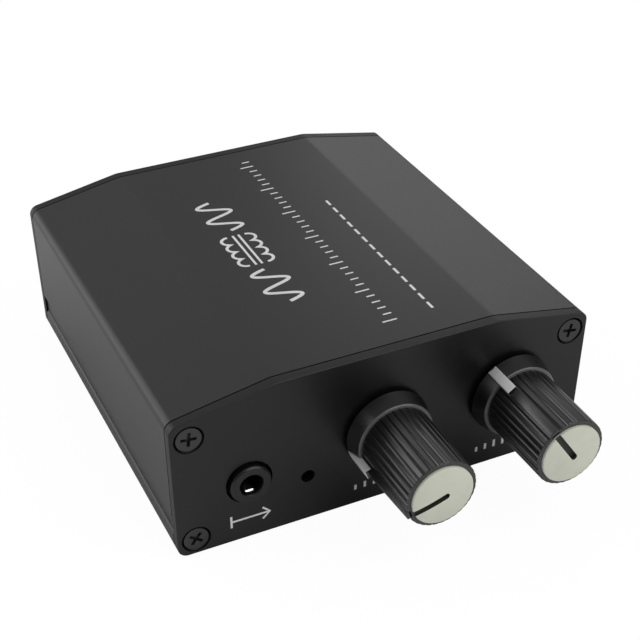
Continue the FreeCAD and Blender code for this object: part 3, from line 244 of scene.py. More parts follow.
def new_material(name):
    """An empty node material with its principled shader and object coordinates."""
    material = bpy.data.materials.new(name)
    material.use_nodes = True
    nodes = material.node_tree.nodes
    nodes.clear()
    output = nodes.new("ShaderNodeOutputMaterial")
    shader = nodes.new("ShaderNodeBsdfPrincipled")
    place = nodes.new("ShaderNodeTexCoord")
    material.node_tree.links.new(shader.outputs["BSDF"], output.inputs["Surface"])
    return material, shader, place


def link(material, source, target):
    material.node_tree.links.new(source, target)


def shade(color, factor):
    return tuple(min(1.0, channel * factor) for channel in color)


def add_noise(material, place, scale, detail, roughness=0.5):
    """A noise pattern on object coordinates; returns its output."""
    noise = material.node_tree.nodes.new("ShaderNodeTexNoise")
    noise.inputs["Scale"].default_value = scale
    noise.inputs["Detail"].default_value = detail
    noise.inputs["Roughness"].default_value = roughness
    link(material, place.outputs["Object"], noise.inputs["Vector"])
    return noise.outputs["Fac"]


def add_tint(material, shader, pattern, color, dark, light=1.0):
    """Varies the base colour between two shades of a colour."""
    ramp = material.node_tree.nodes.new("ShaderNodeValToRGB")
    for stop, position, factor in zip(ramp.color_ramp.elements, PATTERN_SPAN, (dark, light)):
        stop.position = position
        stop.color = (*shade(color, factor), 1)
    link(material, pattern, ramp.inputs["Fac"])
    link(material, ramp.outputs["Color"], shader.inputs["Base Color"])


def add_gloss(material, shader, pattern, low, high):
    """Varies the roughness between two values."""
    spread = material.node_tree.nodes.new("ShaderNodeMapRange")
    spread.inputs["From Min"].default_value = PATTERN_SPAN[0]
    spread.inputs["From Max"].default_value = PATTERN_SPAN[1]
    spread.inputs["To Min"].default_value = low
    spread.inputs["To Max"].default_value = high
    link(material, pattern, spread.inputs["Value"])
    link(material, spread.outputs["Result"], shader.inputs["Roughness"])


def add_bump(material, shader, pattern, strength, height):
    """Raises the surface by a pattern."""
    bump = material.node_tree.nodes.new("ShaderNodeBump")
    bump.inputs["Strength"].default_value = strength
    bump.inputs["Distance"].default_value = height
    link(material, pattern, bump.inputs["Height"])
    link(material, bump.outputs["Normal"], shader.inputs["Normal"])


def blasted_anodising(name, color, roughness, sheen):
    """Dyed anodising over blasted metal: even grain, faint clouds in colour and gloss."""
    material, shader, place = new_material(name)
    clouds = add_noise(material, place, scale=45.0, detail=3.0)
    grain = add_noise(material, place, scale=5200.0, detail=2.0, roughness=0.6)
    add_tint(material, shader, clouds, color, dark=0.94, light=1.07)
    add_gloss(material, shader, grain, low=roughness - 0.05, high=roughness + 0.06)
    add_bump(material, shader, grain, strength=0.5, height=0.012 * MM)
    shader.inputs["Specular IOR Level"].default_value = sheen
    return material


def moulded_plastic(name, color, roughness, sheen=0.5, grain_scale=2600.0, grain_height=0.004 * MM):
    """Moulded plastic with a faint spark-eroded texture and uneven sheen."""
    material, shader, place = new_material(name)
    clouds = add_noise(material, place, scale=220.0, detail=2.0)
    grain = add_noise(material, place, scale=grain_scale, detail=3.0, roughness=0.55)
    add_tint(material, shader, clouds, color, dark=0.95, light=1.05)
    add_gloss(material, shader, clouds, low=roughness - 0.03, high=roughness + 0.04)
    add_bump(material, shader, grain, strength=0.4, height=grain_height)
    shader.inputs["Specular IOR Level"].default_value = sheen
    return material


def bare_metal(name, color, roughness, metallic=1.0):
    """Plated or bright metal with fine uneven wear."""
    material, shader, place = new_material(name)
    wear = add_noise(material, place, scale=900.0, detail=4.0, roughness=0.6)
    add_tint(material, shader, wear, color, dark=0.86, light=1.06)
    add_gloss(material, shader, wear, low=roughness * 0.75, high=roughness * 1.3)
    add_bump(material, shader, wear, strength=0.2, height=0.006 * MM)
    shader.inputs["Metallic"].default_value = metallic
    return material


def banded_metal(name, color, direction, scale, distortion, dark, strength, height, metallic,
                 roughness):
    """Metal in fine bands along an axis, with dark grooves between them."""
    material, shader, place = new_material(name)
    bands = material.node_tree.nodes.new("ShaderNodeTexWave")
    bands.wave_type = "BANDS"
    bands.bands_direction = direction
    bands.inputs["Scale"].default_value = scale
    bands.inputs["Distortion"].default_value = distortion
    link(material, place.outputs["Object"], bands.inputs["Vector"])
    add_tint(material, shader, bands.outputs["Fac"], color, dark)
    add_bump(material, shader, bands.outputs["Fac"], strength, height)
    shader.inputs["Metallic"].default_value = metallic
    shader.inputs["Roughness"].default_value = roughness
    return material


def stacked_sheets(name, color):
    """Edges of thin laminations in a transformer core."""
    return banded_metal(name, color, direction="Y", scale=450.0, distortion=0.3, dark=0.6,
                        strength=0.4, height=0.03 * MM, metallic=0.9, roughness=0.45)


def wound_wire(name, color):
    """Turns of enamelled wire, one above the other."""
    return banded_metal(name, color, direction="Z", scale=1300.0, distortion=0.6, dark=0.55,
                        strength=0.6, height=0.05 * MM, metallic=0.7, roughness=0.35)


def solder_mask(name, color):
    """Glossy lacquer over the board, slightly raised over hidden tracks."""
    material, shader, place = new_material(name)
    tracks = material.node_tree.nodes.new("ShaderNodeTexBrick")
    tracks.inputs["Scale"].default_value = 160.0
    tracks.inputs["Mortar Size"].default_value = 0.03
    for field, factor in (("Color1", 1.0), ("Color2", 1.15), ("Mortar", 0.7)):
        tracks.inputs[field].default_value = (*shade(color, factor), 1)
    link(material, place.outputs["Object"], tracks.inputs["Vector"])
    link(material, tracks.outputs["Color"], shader.inputs["Base Color"])
    add_bump(material, shader, tracks.outputs["Fac"], strength=0.3, height=0.02 * MM)
    shader.inputs["Roughness"].default_value = 0.28
    return material


def clear_lens(name):
    """Clear epoxy of a small lamp, with a near-black base colour as painted shade in its hole."""
    material, shader, place = new_material(name)
    streaks = add_noise(material, place, scale=1500.0, detail=2.0)
    add_gloss(material, shader, streaks, low=0.06, high=0.14)
    # Near-black base colour: painted shade of the lamp's hole
    shader.inputs["Base Color"].default_value = (0.01, 0.01, 0.01, 1)
    shader.inputs["Transmission Weight"].default_value = 0.5
    shader.inputs["IOR"].default_value = 1.5
    return material


MATERIALS = {}


def make_materials():
    """Fills the table of materials from the finish settings."""
    finish = bpy.context.scene.amplifier_finish
    case, panel, moulding = tuple(finish.anodised), tuple(finish.panel), tuple(finish.moulding)
    MATERIALS.update({
        "case": blasted_anodising("black anodised case", case, roughness=0.35, sheen=0.5),
        "panel": blasted_anodising("black anodised panel", panel, roughness=0.36, sheen=0.48),
        "rim": blasted_anodising("panel rim", panel, roughness=0.42, sheen=0.36),
        "knob": moulded_plastic("satin black knob", moulding, roughness=0.3, sheen=1.0),
        # A lighter grey than the knob on the collar's front face and edge: a painted highlight
        "edge": moulded_plastic("worn collar edge", (0.11, 0.11, 0.112), roughness=0.26),
        "housing": moulded_plastic("black moulding", shade(moulding, 0.9), roughness=0.42),
        "jack": moulded_plastic("black socket moulding", shade(moulding, 0.8), roughness=0.36),
        # Near-black bore walls with little sheen: painted shade inside the sockets
        "bore": moulded_plastic("dark socket bore", shade(moulding, 0.2), roughness=0.5,
                                sheen=0.15),
        "cap": moulded_plastic("pale cap", tuple(finish.cap), roughness=0.36, grain_scale=1800.0),
        # Near-black walls and floor of the caps' slots: painted shade
        "slot": moulded_plastic("dark slot", (0.035, 0.035, 0.028), roughness=0.5),
        "ink": moulded_plastic("white ink", tuple(finish.ink), roughness=0.5, grain_scale=3000.0,
                               grain_height=0.002 * MM),
        "screw": bare_metal("blackened screw", (0.075, 0.075, 0.078), roughness=0.38,
                            metallic=0.85),
        "nickel": bare_metal("nickel plate", (0.66, 0.65, 0.62), roughness=0.22),
        "contact": bare_metal("bright contact", (0.95, 0.94, 0.9), roughness=0.3),
        "tin": bare_metal("tinned lead", (0.7, 0.7, 0.69), roughness=0.34),
        "can": bare_metal("bright can", (0.8, 0.8, 0.81), roughness=0.24),
        "core": stacked_sheets("laminated core", (0.36, 0.36, 0.37)),
        "wire": wound_wire("enamelled wire", (0.55, 0.2, 0.07)),
        "board": solder_mask("green solder mask", (0.012, 0.09, 0.035)),
        "chip": moulded_plastic("chip resin", (0.02, 0.02, 0.021), roughness=0.5),
        "resistor": moulded_plastic("resistor glaze", (0.03, 0.03, 0.032), roughness=0.25),
        "ceramic": moulded_plastic("capacitor ceramic", (0.36, 0.24, 0.13), roughness=0.4),
        "lens": clear_lens("lamp epoxy"),
    })


def dress(piece, *names):
    """Replaces all material slots of a piece; the first material covers it."""
    piece.data.materials.clear()
    for name in names:
        piece.data.materials.append(MATERIALS[name])


def dress_node(node, material):
    """Gives a material to a node that the frame brings along."""
    dress(frame["nodes"][node], material)


# Modelling by operators

def deselect_all():
    bpy.ops.object.select_all(action="DESELECT")


def take(piece):
    """Makes a piece the only selected one and the active one."""
    deselect_all()
    piece.hide_viewport = False
    piece.select_set(True)
    bpy.context.view_layer.objects.active = piece


def name_piece(name):
    piece = bpy.context.active_object
    piece.name = name
    piece.data.name = name
    return piece


def open_edit():
    bpy.ops.object.mode_set(mode="EDIT")


def close_edit():
    bpy.ops.object.mode_set(mode="OBJECT")


def pick_vertices(piece, test):
    """Selects in edit mode the vertices whose place passes a test; returns how many."""
    bpy.ops.mesh.select_mode(type="VERT")
    bpy.ops.mesh.select_all(action="DESELECT")
    mesh = bmesh.from_edit_mesh(piece.data)
    count = 0
    for vertex in mesh.verts:
        if test(vertex.co):
            vertex.select = True
            count += 1
    mesh.select_flush_mode()
    bmesh.update_edit_mesh(piece.data)
    return count


def draw_run(name, points):
    """A run of edges through points, drawn by extruding one vertex."""
    deselect_all()
    bpy.ops.mesh.primitive_plane_add(size=MM, location=(0, 0, 0))
    piece = name_piece(name)
    open_edit()
    bpy.ops.mesh.select_mode(type="VERT")
    bpy.ops.mesh.select_all(action="SELECT")
    bpy.ops.mesh.merge(type="CENTER")
    bpy.ops.transform.translate(value=Vector(points[0]))
    for here, there in zip(points, points[1:]):
        step = Vector(there) - Vector(here)
        bpy.ops.mesh.extrude_vertices_move(TRANSFORM_OT_translate={"value": step})
    return piece


def turn_profile(name, outline, steps):
    """A closed turned piece about the Y axis; outline is a run of (radius, y)."""
    piece = draw_run(name, [(0, y, radius) for radius, y in outline])
    bpy.ops.mesh.select_all(action="SELECT")
    bpy.ops.mesh.spin(steps=steps, angle=FULL_TURN, center=(0, 0, 0), axis=(0, 1, 0))
    bpy.ops.mesh.select_all(action="SELECT")
    bpy.ops.mesh.remove_doubles(threshold=MERGE)
    bpy.ops.mesh.normals_make_consistent(inside=False)
    close_edit()
    return piece


def add_modifier(piece, kind, **values):
    """Puts a modifier on a piece and applies it."""
    take(piece)
    modifier = piece.modifiers.new(kind.title(), kind)
    for name, value in values.items():
        setattr(modifier, name, value)
    bpy.ops.object.modifier_apply(modifier=modifier.name)


def smooth(piece, degrees):
    """Shades a piece smooth but for the edges above an angle."""
    take(piece)
    bpy.ops.object.shade_smooth_by_angle(angle=math.radians(degrees))


def settle(piece, place, clock=0.0):
    """Turns a piece about the Y axis by a clock angle, moves it and puts that into its mesh."""
    take(piece)
    piece.rotation_euler = (0, math.radians(clock), 0)
    piece.location = place
    bpy.ops.object.transform_apply(location=True, rotation=True, scale=True)


def finish_piece(piece, body, slot, *nodes):
    """Hangs a piece on a body and hides the nodes that it stands in for; the slot is not used."""
    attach(piece, body)
    if nodes:
        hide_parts(*nodes)
    return piece


def paint_faces(piece, slot, test):
    """Gives a material slot to the faces whose middle and normal pass a test."""
    take(piece)
    open_edit()
    bpy.ops.mesh.select_mode(type="FACE")
    bpy.ops.mesh.select_all(action="DESELECT")
    mesh = bmesh.from_edit_mesh(piece.data)
    chosen = [face for face in mesh.faces if test(face.calc_center_median(), face.normal)]
    if not chosen:
        raise RuntimeError(piece.name + " has no face to paint")
    for face in chosen:
        face.select = True
    bmesh.update_edit_mesh(piece.data)
    piece.active_material_index = slot
    bpy.ops.object.material_slot_assign()
    close_edit()


# Case, panels and what shows in them

# Degrees: faces that differ by less become one, and sharper edges are rounded
FLAT_ANGLE = 0.5
SHARP_ANGLE = 30.0

# How wide the edges of each kind of piece are rounded; those of the lamp stay as they are
EDGES = {
    "case": 0.12 * MM, "panel": 0.05 * MM, "screws": 0.04 * MM, "jack": 0.05 * MM,
    "power": 0.1 * MM, "lamp": 0.0, "nut": 0.12 * MM, "washer": 0.04 * MM, "bushing": 0.08 * MM,
}

# How far the case halves end behind each panel, for the dark line along it
SEAM = 0.2 * MM

# The share of a normal along Y below which a face looks sideways
SIDEWAYS = 0.5

# The walls of a socket's bore, which get painted shade, lie closer than this to its axis
BORE_REACH = 2.02 * MM


def soften(node, slot, material, width, seam=0.0):
    """A copy of a node of the case with merged corners, rounded edges and smooth curves.

    A seam draws the piece's front and rear ends back by that much.
    """
    name = node + "_dressed"
    piece = bpy.data.objects.new(name, frame["nodes"][node].data.copy())
    piece.data.name = name
    bpy.context.scene.collection.objects.link(piece)
    take(piece)
    open_edit()
    bpy.ops.mesh.select_all(action="SELECT")
    bpy.ops.mesh.remove_doubles(threshold=MERGE)
    bpy.ops.mesh.dissolve_limited(angle_limit=math.radians(FLAT_ANGLE))
    if seam:
        low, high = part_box(node)
        for end, inwards in ((low.y, seam), (high.y, -seam)):
            pick_vertices(piece, lambda place: abs(place.y - end) < MERGE)
            bpy.ops.transform.translate(value=(0, inwards, 0))
    close_edit()
    if width:
        add_modifier(piece, "BEVEL", width=width, segments=2, limit_method="ANGLE",
                     angle_limit=math.radians(SHARP_ANGLE))
    smooth(piece, SHARP_ANGLE)
    add_modifier(piece, "WEIGHTED_NORMAL", keep_sharp=True)
    dress(piece, material)
    return finish_piece(piece, "case", slot, node)


class AMPLIFIER_OT_case(Operator):
    """Dress both case halves with blasted anodising and softened edges"""

    bl_idname = "amplifier.case"
    bl_label = "Case halves"

    def execute(self, context):
        for node in ("upper_shell", "lower_shell"):
            soften(node, "anodised_black", "case", EDGES["case"], SEAM)
        return {"FINISHED"}


class AMPLIFIER_OT_panels(Operator):
    """Dress the end panels and their countersunk screws"""

    bl_idname = "amplifier.panels"
    bl_label = "End panels"

    def execute(self, context):
        for node in ("front_panel", "rear_panel"):
            plate = soften(node, "panel_black", "panel", EDGES["panel"])
            dress(plate, "panel", "rim")
            paint_faces(plate, 1, lambda place, normal: abs(normal.y) < SIDEWAYS)
            soften(node + "_screws", "screw_black", "screw", EDGES["screws"])
        return {"FINISHED"}


def paint_bore_shade(socket, node):
    """Paints shade on the walls of a socket's bore, whose axis lies half a width below the top."""
    low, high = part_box(node)
    x = (low.x + high.x) / 2
    z = high.z - (high.x - low.x) / 2
    paint_faces(socket, 1, lambda place, normal: (
        abs(normal.y) < SIDEWAYS and math.hypot(place.x - x, place.z - z) < BORE_REACH))


class AMPLIFIER_OT_sockets(Operator):
    """Dress the plug sockets, their contacts and the lamp"""

    bl_idname = "amplifier.sockets"
    bl_label = "Sockets and lamp"

    def execute(self, context):
        for node in SOCKETS:
            socket = soften(node, "moulded_black", "jack", EDGES["jack"])
            # The bore walls get the near-black material: painted shade
            dress(socket, "jack", "bore")
            paint_bore_shade(socket, node)
            dress_node(node + "_contacts", "contact")
        soften("power_socket", "moulded_black", "housing", EDGES["power"])
        dress_node("power_socket_pin", "nickel")
        dress_node("power_socket_lugs", "nickel")
        soften("indicator_lamp", "lamp_lens", "lens", EDGES["lamp"])
        dress_node("indicator_lamp_leads", "tin")
        return {"FINISHED"}


CONTROL_FINISHES = {"housing": "housing", "rotor": "housing", "pins": "tin", "shaft": "nickel"}


class AMPLIFIER_OT_controls(Operator):
    """Dress the shafts, bushings, nuts and washers behind the knobs"""

    bl_idname = "amplifier.controls"
    bl_label = "Control hardware"

    def execute(self, context):
        for side in SIDES:
            for kind in ("nut", "washer", "bushing"):
                soften(f"{side}_control_{kind}", "nickel", "nickel", EDGES[kind])
            for kind, material in CONTROL_FINISHES.items():
                dress_node(f"{side}_control_{kind}", material)
        return {"FINISHED"}


# Knobs

# How deep a flute is pressed at its middle station and at the next two on each side
STATIONS_PER_FLUTE = 12
FLUTE_SHARES = (1.0, 0.7, 0.1)

# Degrees: sharper edges stay hard on the turned body and on its bar and rib
KNOB_ANGLE = 28
BLOCK_ANGLE = 40

# Rounded edges: mm inwards and mm towards the rear, both from the sharp corner
GRIP_EDGE = ((0.22, 0.0), (0.08, 0.06), (0.0, 0.2))
COLLAR_EDGE = ((0.5, 0.0), (0.24, 0.07), (0.07, 0.24), (0.0, 0.5))
SEAT_EDGE = 0.06 * MM
REAR_EDGE = 0.12 * MM
BLOCK_EDGE = 0.1 * MM

# The collar's front ring, given a lighter grey as a painted highlight, reaches this far behind its
# front face
COLLAR_HIGHLIGHT_REACH = 0.3 * MM

# Bar and rib stay clear of the hollow for the nut, the bar's crown lies under the collar's
# radius, and the rib's sides lie under the bar's
HOLLOW_CLEARANCE = 0.1 * MM
POINTER_SINK = 0.03 * MM
RIB_INSET = 0.02 * MM


def grip_edge(sizes):
    """The rounded front edge of the grip, as (radius, y)."""
    return [(sizes.grip_end_radius - inwards * MM, rearwards * MM - sizes.body_length)
            for inwards, rearwards in GRIP_EDGE]


def collar_edge(sizes):
    """The rounded front edge of the collar, as (radius, y)."""
    shoulder = sizes.collar_radius - sizes.collar_taper
    return [(shoulder - inwards * MM, rearwards * MM - sizes.collar_height)
            for inwards, rearwards in COLLAR_EDGE]


def knob_outline(sizes):
    """The knob's section from the cap seat round the outside to the bore, as (radius, y)."""
    front = -sizes.body_length
    return [
        (0.0, -sizes.seat_depth),
        (sizes.seat_radius, -sizes.seat_depth),
        (sizes.seat_radius, front + SEAT_EDGE),
        (sizes.seat_radius + SEAT_EDGE, front),
        *grip_edge(sizes),
        (sizes.grip_radius, -sizes.collar_height),
        *collar_edge(sizes),
        (sizes.collar_radius, -REAR_EDGE),
        (sizes.collar_radius - REAR_EDGE, 0.0),
        (sizes.nut_hollow, 0.0),
        (sizes.nut_hollow, -sizes.nut_hollow_depth),
        (sizes.bushing_hollow, -sizes.nut_hollow_depth),
        (sizes.bushing_hollow, -sizes.bushing_hollow_depth),
        (sizes.bore, -sizes.bushing_hollow_depth),
        (sizes.bore, -sizes.bore_depth),
        (0.0, -sizes.bore_depth),
    ]


def press_flutes(piece, sizes):
    """Scales the grip's stations inwards where a flute runs, ring by ring."""
    rings = [(radius, y, sizes.flute_end_root) for radius, y in grip_edge(sizes)]
    rings.append((sizes.grip_radius, -sizes.collar_height, sizes.flute_root))
    stations = sizes.flutes * STATIONS_PER_FLUTE
    take(piece)
    open_edit()
    for radius, y, root in rings:
        for offset, share in enumerate(FLUTE_SHARES):
            def in_flute(place):
                if abs(place.y - y) > MERGE or abs(math.hypot(place.x, place.z) - radius) > MERGE:
                    return False
                station = round(math.atan2(place.x, place.z) / FULL_TURN * stations)
                step = station % STATIONS_PER_FLUTE
                return min(step, STATIONS_PER_FLUTE - step) == offset
            if not pick_vertices(piece, in_flute):
                raise RuntimeError("a flute found no grip to press")
            inwards = 1 - share * (radius - min(root, radius)) / radius
            bpy.ops.transform.resize(value=(inwards, 1, inwards), center_override=(0, 0, 0))
    close_edit()


def add_block(name, low, high):
    """A block between two corners, with rounded edges."""
    deselect_all()
    middle = (Vector(low) + Vector(high)) / 2
    bpy.ops.mesh.primitive_cube_add(size=1, location=middle, scale=Vector(high) - Vector(low))
    block = name_piece(name)
    bpy.ops.object.transform_apply(location=True, rotation=True, scale=True)
    add_modifier(block, "BEVEL", width=BLOCK_EDGE, segments=3, limit_method="ANGLE")
    smooth(block, BLOCK_ANGLE)
    return block


def pointer_bar(sizes, name):
    """The raised bar beside the collar, painted white where it stands clear of the rib."""
    half = sizes.pointer_width / 2
    root = sizes.nut_hollow + HOLLOW_CLEARANCE
    crown = sizes.collar_radius - POINTER_SINK
    bar = add_block(name, (-half, -sizes.pointer_length, root), (half, 0.0, crown))
    dress(bar, "knob", "ink")
    paint_faces(bar, 1, lambda place, normal: place.z > sizes.rib_crown or normal.y > -SIDEWAYS)
    return bar


def grip_rib(sizes, name):
    """The black rib under the bar, which falls towards the front of the grip."""
    half = sizes.pointer_width / 2 - RIB_INSET
    start = -sizes.nut_hollow_depth - HOLLOW_CLEARANCE
    bar_end = -sizes.pointer_length
    foot = (-half, -sizes.body_length, sizes.rib_root)
    rib = add_block(name, foot, (half, start, sizes.rib_crown))
    open_edit()
    pick_vertices(rib, lambda place: place.z > sizes.rib_end and place.y < bar_end)
    bpy.ops.transform.translate(value=(0, 0, sizes.rib_end - sizes.rib_crown))
    close_edit()
    dress(rib, "knob")
    return rib


def knob_place(side):
    """The middle of the knob's rear rim, on the hinge axis."""
    hinge = HINGES[side]["pos_m"]
    return Vector((hinge[0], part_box(f"{side}_knob_body")[1].y, hinge[2]))


def knob_clock(side):
    """The pointer's clock angle at rest: the travel is even about twelve o'clock."""
    low, high = HINGES[side]["range_deg"]
    return -(low + high) / 2


def make_knob(side):
    """Turned body with pressed flutes, joined with its pointer bar and rib, with a painted
    highlight on the collar's front edge.
    """
    sizes = bpy.context.scene.amplifier_knob
    knob = turn_profile(f"{side}_knob", knob_outline(sizes), sizes.flutes * STATIONS_PER_FLUTE)
    press_flutes(knob, sizes)
    smooth(knob, KNOB_ANGLE)
    dress(knob, "knob", "edge")
    # The collar's front face and rounded edge take the lighter grey: a painted highlight
    highlight_start = COLLAR_HIGHLIGHT_REACH - sizes.collar_height
    paint_faces(knob, 1, lambda place, normal: (
        place.y < highlight_start and math.hypot(place.x, place.z) > sizes.grip_radius + MERGE))
    parts = [pointer_bar(sizes, f"{side}_pointer"), grip_rib(sizes, f"{side}_rib")]
    take(knob)
    for piece in parts:
        piece.select_set(True)
    bpy.ops.object.join()
    settle(knob, knob_place(side), knob_clock(side))
    finish_piece(knob, f"{side}_knob", "knob_black", f"{side}_knob_body")


class AMPLIFIER_OT_knobs(Operator):
    """Model the fluted knobs with their collars and white pointer bars"""

    bl_idname = "amplifier.knobs"
    bl_label = "Knobs"

    def execute(self, context):
        for side in SIDES:
            make_knob(side)
        return {"FINISHED"}


# Knob caps

CAP_STEPS = 128
CROWN_SHARES = (0.0, 0.2, 0.4, 0.6, 0.8, 1.0)
RIM_ANGLES = (30, 60, 90)
CAP_EDGE = 0.05 * MM
CUTTER_STEPS = 32
CUTTER_HEIGHT = 2 * MM

# Degrees: sharper edges of the cap stay hard, and the sharpest ones are rounded
CAP_ANGLE = 35
CAP_EDGE_ANGLE = 50


def cap_outline(sizes, seat):
    """Crown, rounded rim and side of the cap, as (radius, y)."""
    edge = sizes.radius - sizes.rim_round
    crown = [(edge * share, -sizes.front + sizes.dome * share * share) for share in CROWN_SHARES]
    rim = [(edge + sizes.rim_round * math.sin(angle),
            -sizes.front + sizes.dome + sizes.rim_round * (1 - math.cos(angle)))
           for angle in map(math.radians, RIM_ANGLES)]
    return crown + rim + [(sizes.radius, -seat), (0.0, -seat)]


def slot_cutter(sizes):
    """A bar with one rounded end that lies across the cap's radius."""
    half = sizes.slot_width / 2
    middle = half - sizes.slot_past
    floor = sizes.slot_depth - sizes.front
    deselect_all()
    bpy.ops.mesh.primitive_cylinder_add(
        vertices=CUTTER_STEPS, radius=half, depth=CUTTER_HEIGHT,
        location=(0, floor - CUTTER_HEIGHT / 2, middle), rotation=(math.pi / 2, 0, 0))
    cutter = name_piece("slot_cutter")
    bpy.ops.object.transform_apply(location=True, rotation=True, scale=True)
    open_edit()
    pick_vertices(cutter, lambda place: place.z > middle + MERGE)
    bpy.ops.transform.translate(value=(0, 0, sizes.radius + MM))
    close_edit()
    # The slot's cut faces take this near-black: painted shade
    dress(cutter, "slot")
    return cutter


def make_cap(side):
    """Turned cap whose slot points where the knob's bar points."""
    sizes = bpy.context.scene.amplifier_cap
    seat = bpy.context.scene.amplifier_knob.seat_depth
    cap = turn_profile(f"{side}_cap", cap_outline(sizes, seat), CAP_STEPS)
    dress(cap, "cap")
    cutter = slot_cutter(sizes)
    add_modifier(cap, "BOOLEAN", object=cutter, operation="DIFFERENCE", solver="EXACT",
                 material_mode="TRANSFER")
    bpy.data.objects.remove(cutter)
    add_modifier(cap, "BEVEL", width=CAP_EDGE, segments=2, limit_method="ANGLE",
                 angle_limit=math.radians(CAP_EDGE_ANGLE))
    smooth(cap, CAP_ANGLE)
    settle(cap, knob_place(side), knob_clock(side))
    finish_piece(cap, f"{side}_knob", "cap_ivory", f"{side}_knob_cap")


class AMPLIFIER_OT_caps(Operator):
    """Model the pale slotted caps in the knobs' ends"""

    bl_idname = "amplifier.caps"
    bl_label = "Knob caps"

    def execute(self, context):
        for side in SIDES:
            make_cap(side)
        return {"FINISHED"}


# Printed marks

# Signal diagram on the top: its middle line, where its waves start along Y, their size, and
# how far the coils and the core's bars lie from the middle line
DIAGRAM_X = -8.1 * MM
WAVE_STARTS = {"wave_near": -17.8 * MM, "wave_far": 7.9 * MM}
WAVE_LENGTH, WAVE_HEIGHT = 11 * MM, 5.6 * MM
WAVE_TURNS, WAVE_STEPS = 2, 48
COIL_OFFSET, COIL_START = 1.7 * MM, -4.7 * MM
COIL_LENGTH, COIL_HEIGHT = 10.4 * MM, 1.5 * MM
COIL_LOOPS, LOOP_STEPS = 4, 8
BAR_OFFSET, BAR_START, BAR_END = 0.55 * MM, -4.9 * MM, 5.9 * MM

# Widths as shares of the bold and of the fine line
COIL_WIDTH, BAR_WIDTH = 0.8, 0.6
DASH_WIDTH, ARROW_WIDTH, LEVEL_WIDTH = 1.4, 1.1, 1.4

# Rows beside the diagram, in mm: ticks that end on one line, every fifth one long, and dashes
TICKS, TICK_START, TICK_ROW = 32, -30.0, 61.0
TICK_X, TICK_LENGTH, LONG_TICK, LONG_EVERY = 5.2, 1.5, 2.6, 5
DASHES, DASH_START, DASH_PITCH = 14, -29.7, 2.94
DASH_X, DASH_LENGTH = 12.0, 1.9

# Arrow and level bars on the front panel; the bars' height starts and grows in mm
PRINT_LOW, PRINT_HIGH = 3.0 * MM, 5.4 * MM
ARROW_HALF, ARROW_HEAD = 3.4 * MM, 1.3 * MM
LEVEL_BARS, LEVEL_PITCH = 7, 1.75 * MM
LEVEL_FIRST, LEVEL_STEP = 1.0, 0.24


def flatten(piece, axis, level):
    """Presses a drawn stroke flat against the surface at a level along an axis."""
    ink = bpy.context.scene.amplifier_print.ink
    reach = max(abs(vertex.co[axis] - level) for vertex in piece.data.vertices)
    squeeze = [1, 1, 1]
    squeeze[axis] = ink / reach
    centre = [0, 0, 0]
    centre[axis] = level
    take(piece)
    open_edit()
    bpy.ops.mesh.select_all(action="SELECT")
    bpy.ops.transform.resize(value=squeeze, center_override=centre)
    close_edit()


def stroke(name, points, width, axis, level):
    """A printed line of even width through points on a surface."""
    piece = draw_run(name, points)
    close_edit()
    take(piece)
    bpy.ops.object.convert(target="CURVE")
    piece = bpy.context.active_object
    piece.data.dimensions = "3D"
    piece.data.bevel_depth = width / 2
    piece.data.bevel_resolution = 2
    piece.data.use_fill_caps = True
    bpy.ops.object.convert(target="MESH")
    piece = bpy.context.active_object
    flatten(piece, axis, level)
    return piece


def top_stroke(name, points, width):
    """A printed line on the flat top, through points (x, y)."""
    return stroke(name, [(x, y, ROOF) for x, y in points], width, 2, ROOF)


def front_stroke(name, points, width):
    """A printed line on the front panel, through points (x, z)."""
    return stroke(name, [(x, PANEL_FACE, z) for x, z in points], width, 1, PANEL_FACE)


def join_print(name, strokes):
    """Joins printed lines into one inked piece on the case."""
    take(strokes[0])
    for piece in strokes[1:]:
        piece.select_set(True)
    bpy.ops.object.join()
    piece = name_piece(name)
    dress(piece, "ink")
    finish_piece(piece, "case", "cap_ivory")


def wave_points(start):
    """A sine wave along Y in the middle of the diagram."""
    return [(DIAGRAM_X + WAVE_HEIGHT / 2 * math.sin(FULL_TURN * WAVE_TURNS * step / WAVE_STEPS),
             start + WAVE_LENGTH * step / WAVE_STEPS) for step in range(WAVE_STEPS + 1)]


def coil_points(side):
    """A row of half-round loops along Y, all bulging to one side of the diagram."""
    pitch = COIL_LENGTH / COIL_LOOPS
    x = DIAGRAM_X + side * COIL_OFFSET
    points = []
    for loop in range(COIL_LOOPS):
        for step in range(LOOP_STEPS + 1):
            angle = math.pi * step / LOOP_STEPS
            y = COIL_START + pitch * loop + pitch / 2 * (1 - math.cos(angle))
            points.append((x + side * COIL_HEIGHT * math.sin(angle), y))
    return points


def print_diagram(bold):
    """Two waves and between them two coils with a core of two bars."""
    strokes = [top_stroke(name, wave_points(start), bold) for name, start in WAVE_STARTS.items()]
    for side in (-1, 1):
        strokes.append(top_stroke("coil", coil_points(side), bold * COIL_WIDTH))
        x = DIAGRAM_X + side * BAR_OFFSET
        bar = [(x, BAR_START), (x, BAR_END)]
        strokes.append(top_stroke("core_bar", bar, bold * BAR_WIDTH))
    join_print("top_diagram_print", strokes)


def print_scale(fine):
    """The row of ticks and the row of dashes."""
    strokes = []
    for number in range(TICKS):
        y = (TICK_START + number * TICK_ROW / (TICKS - 1)) * MM
        length = (LONG_TICK if number % LONG_EVERY == 0 else TICK_LENGTH) * MM
        strokes.append(top_stroke("tick", [(TICK_X * MM - length, y), (TICK_X * MM, y)], fine))
    for number in range(DASHES):
        y = (DASH_START + number * DASH_PITCH) * MM
        dash = [(DASH_X * MM, y), (DASH_X * MM, y + DASH_LENGTH * MM)]
        strokes.append(top_stroke("dash", dash, fine * DASH_WIDTH))
    join_print("top_scale_print", strokes)


class AMPLIFIER_OT_top_print(Operator):
    """Print the white signal diagram and scale rows on the flat top"""

    bl_idname = "amplifier.top_print"
    bl_label = "Top print"

    def execute(self, context):
        sizes = context.scene.amplifier_print
        print_diagram(sizes.bold)
        print_scale(sizes.stroke)
        return {"FINISHED"}


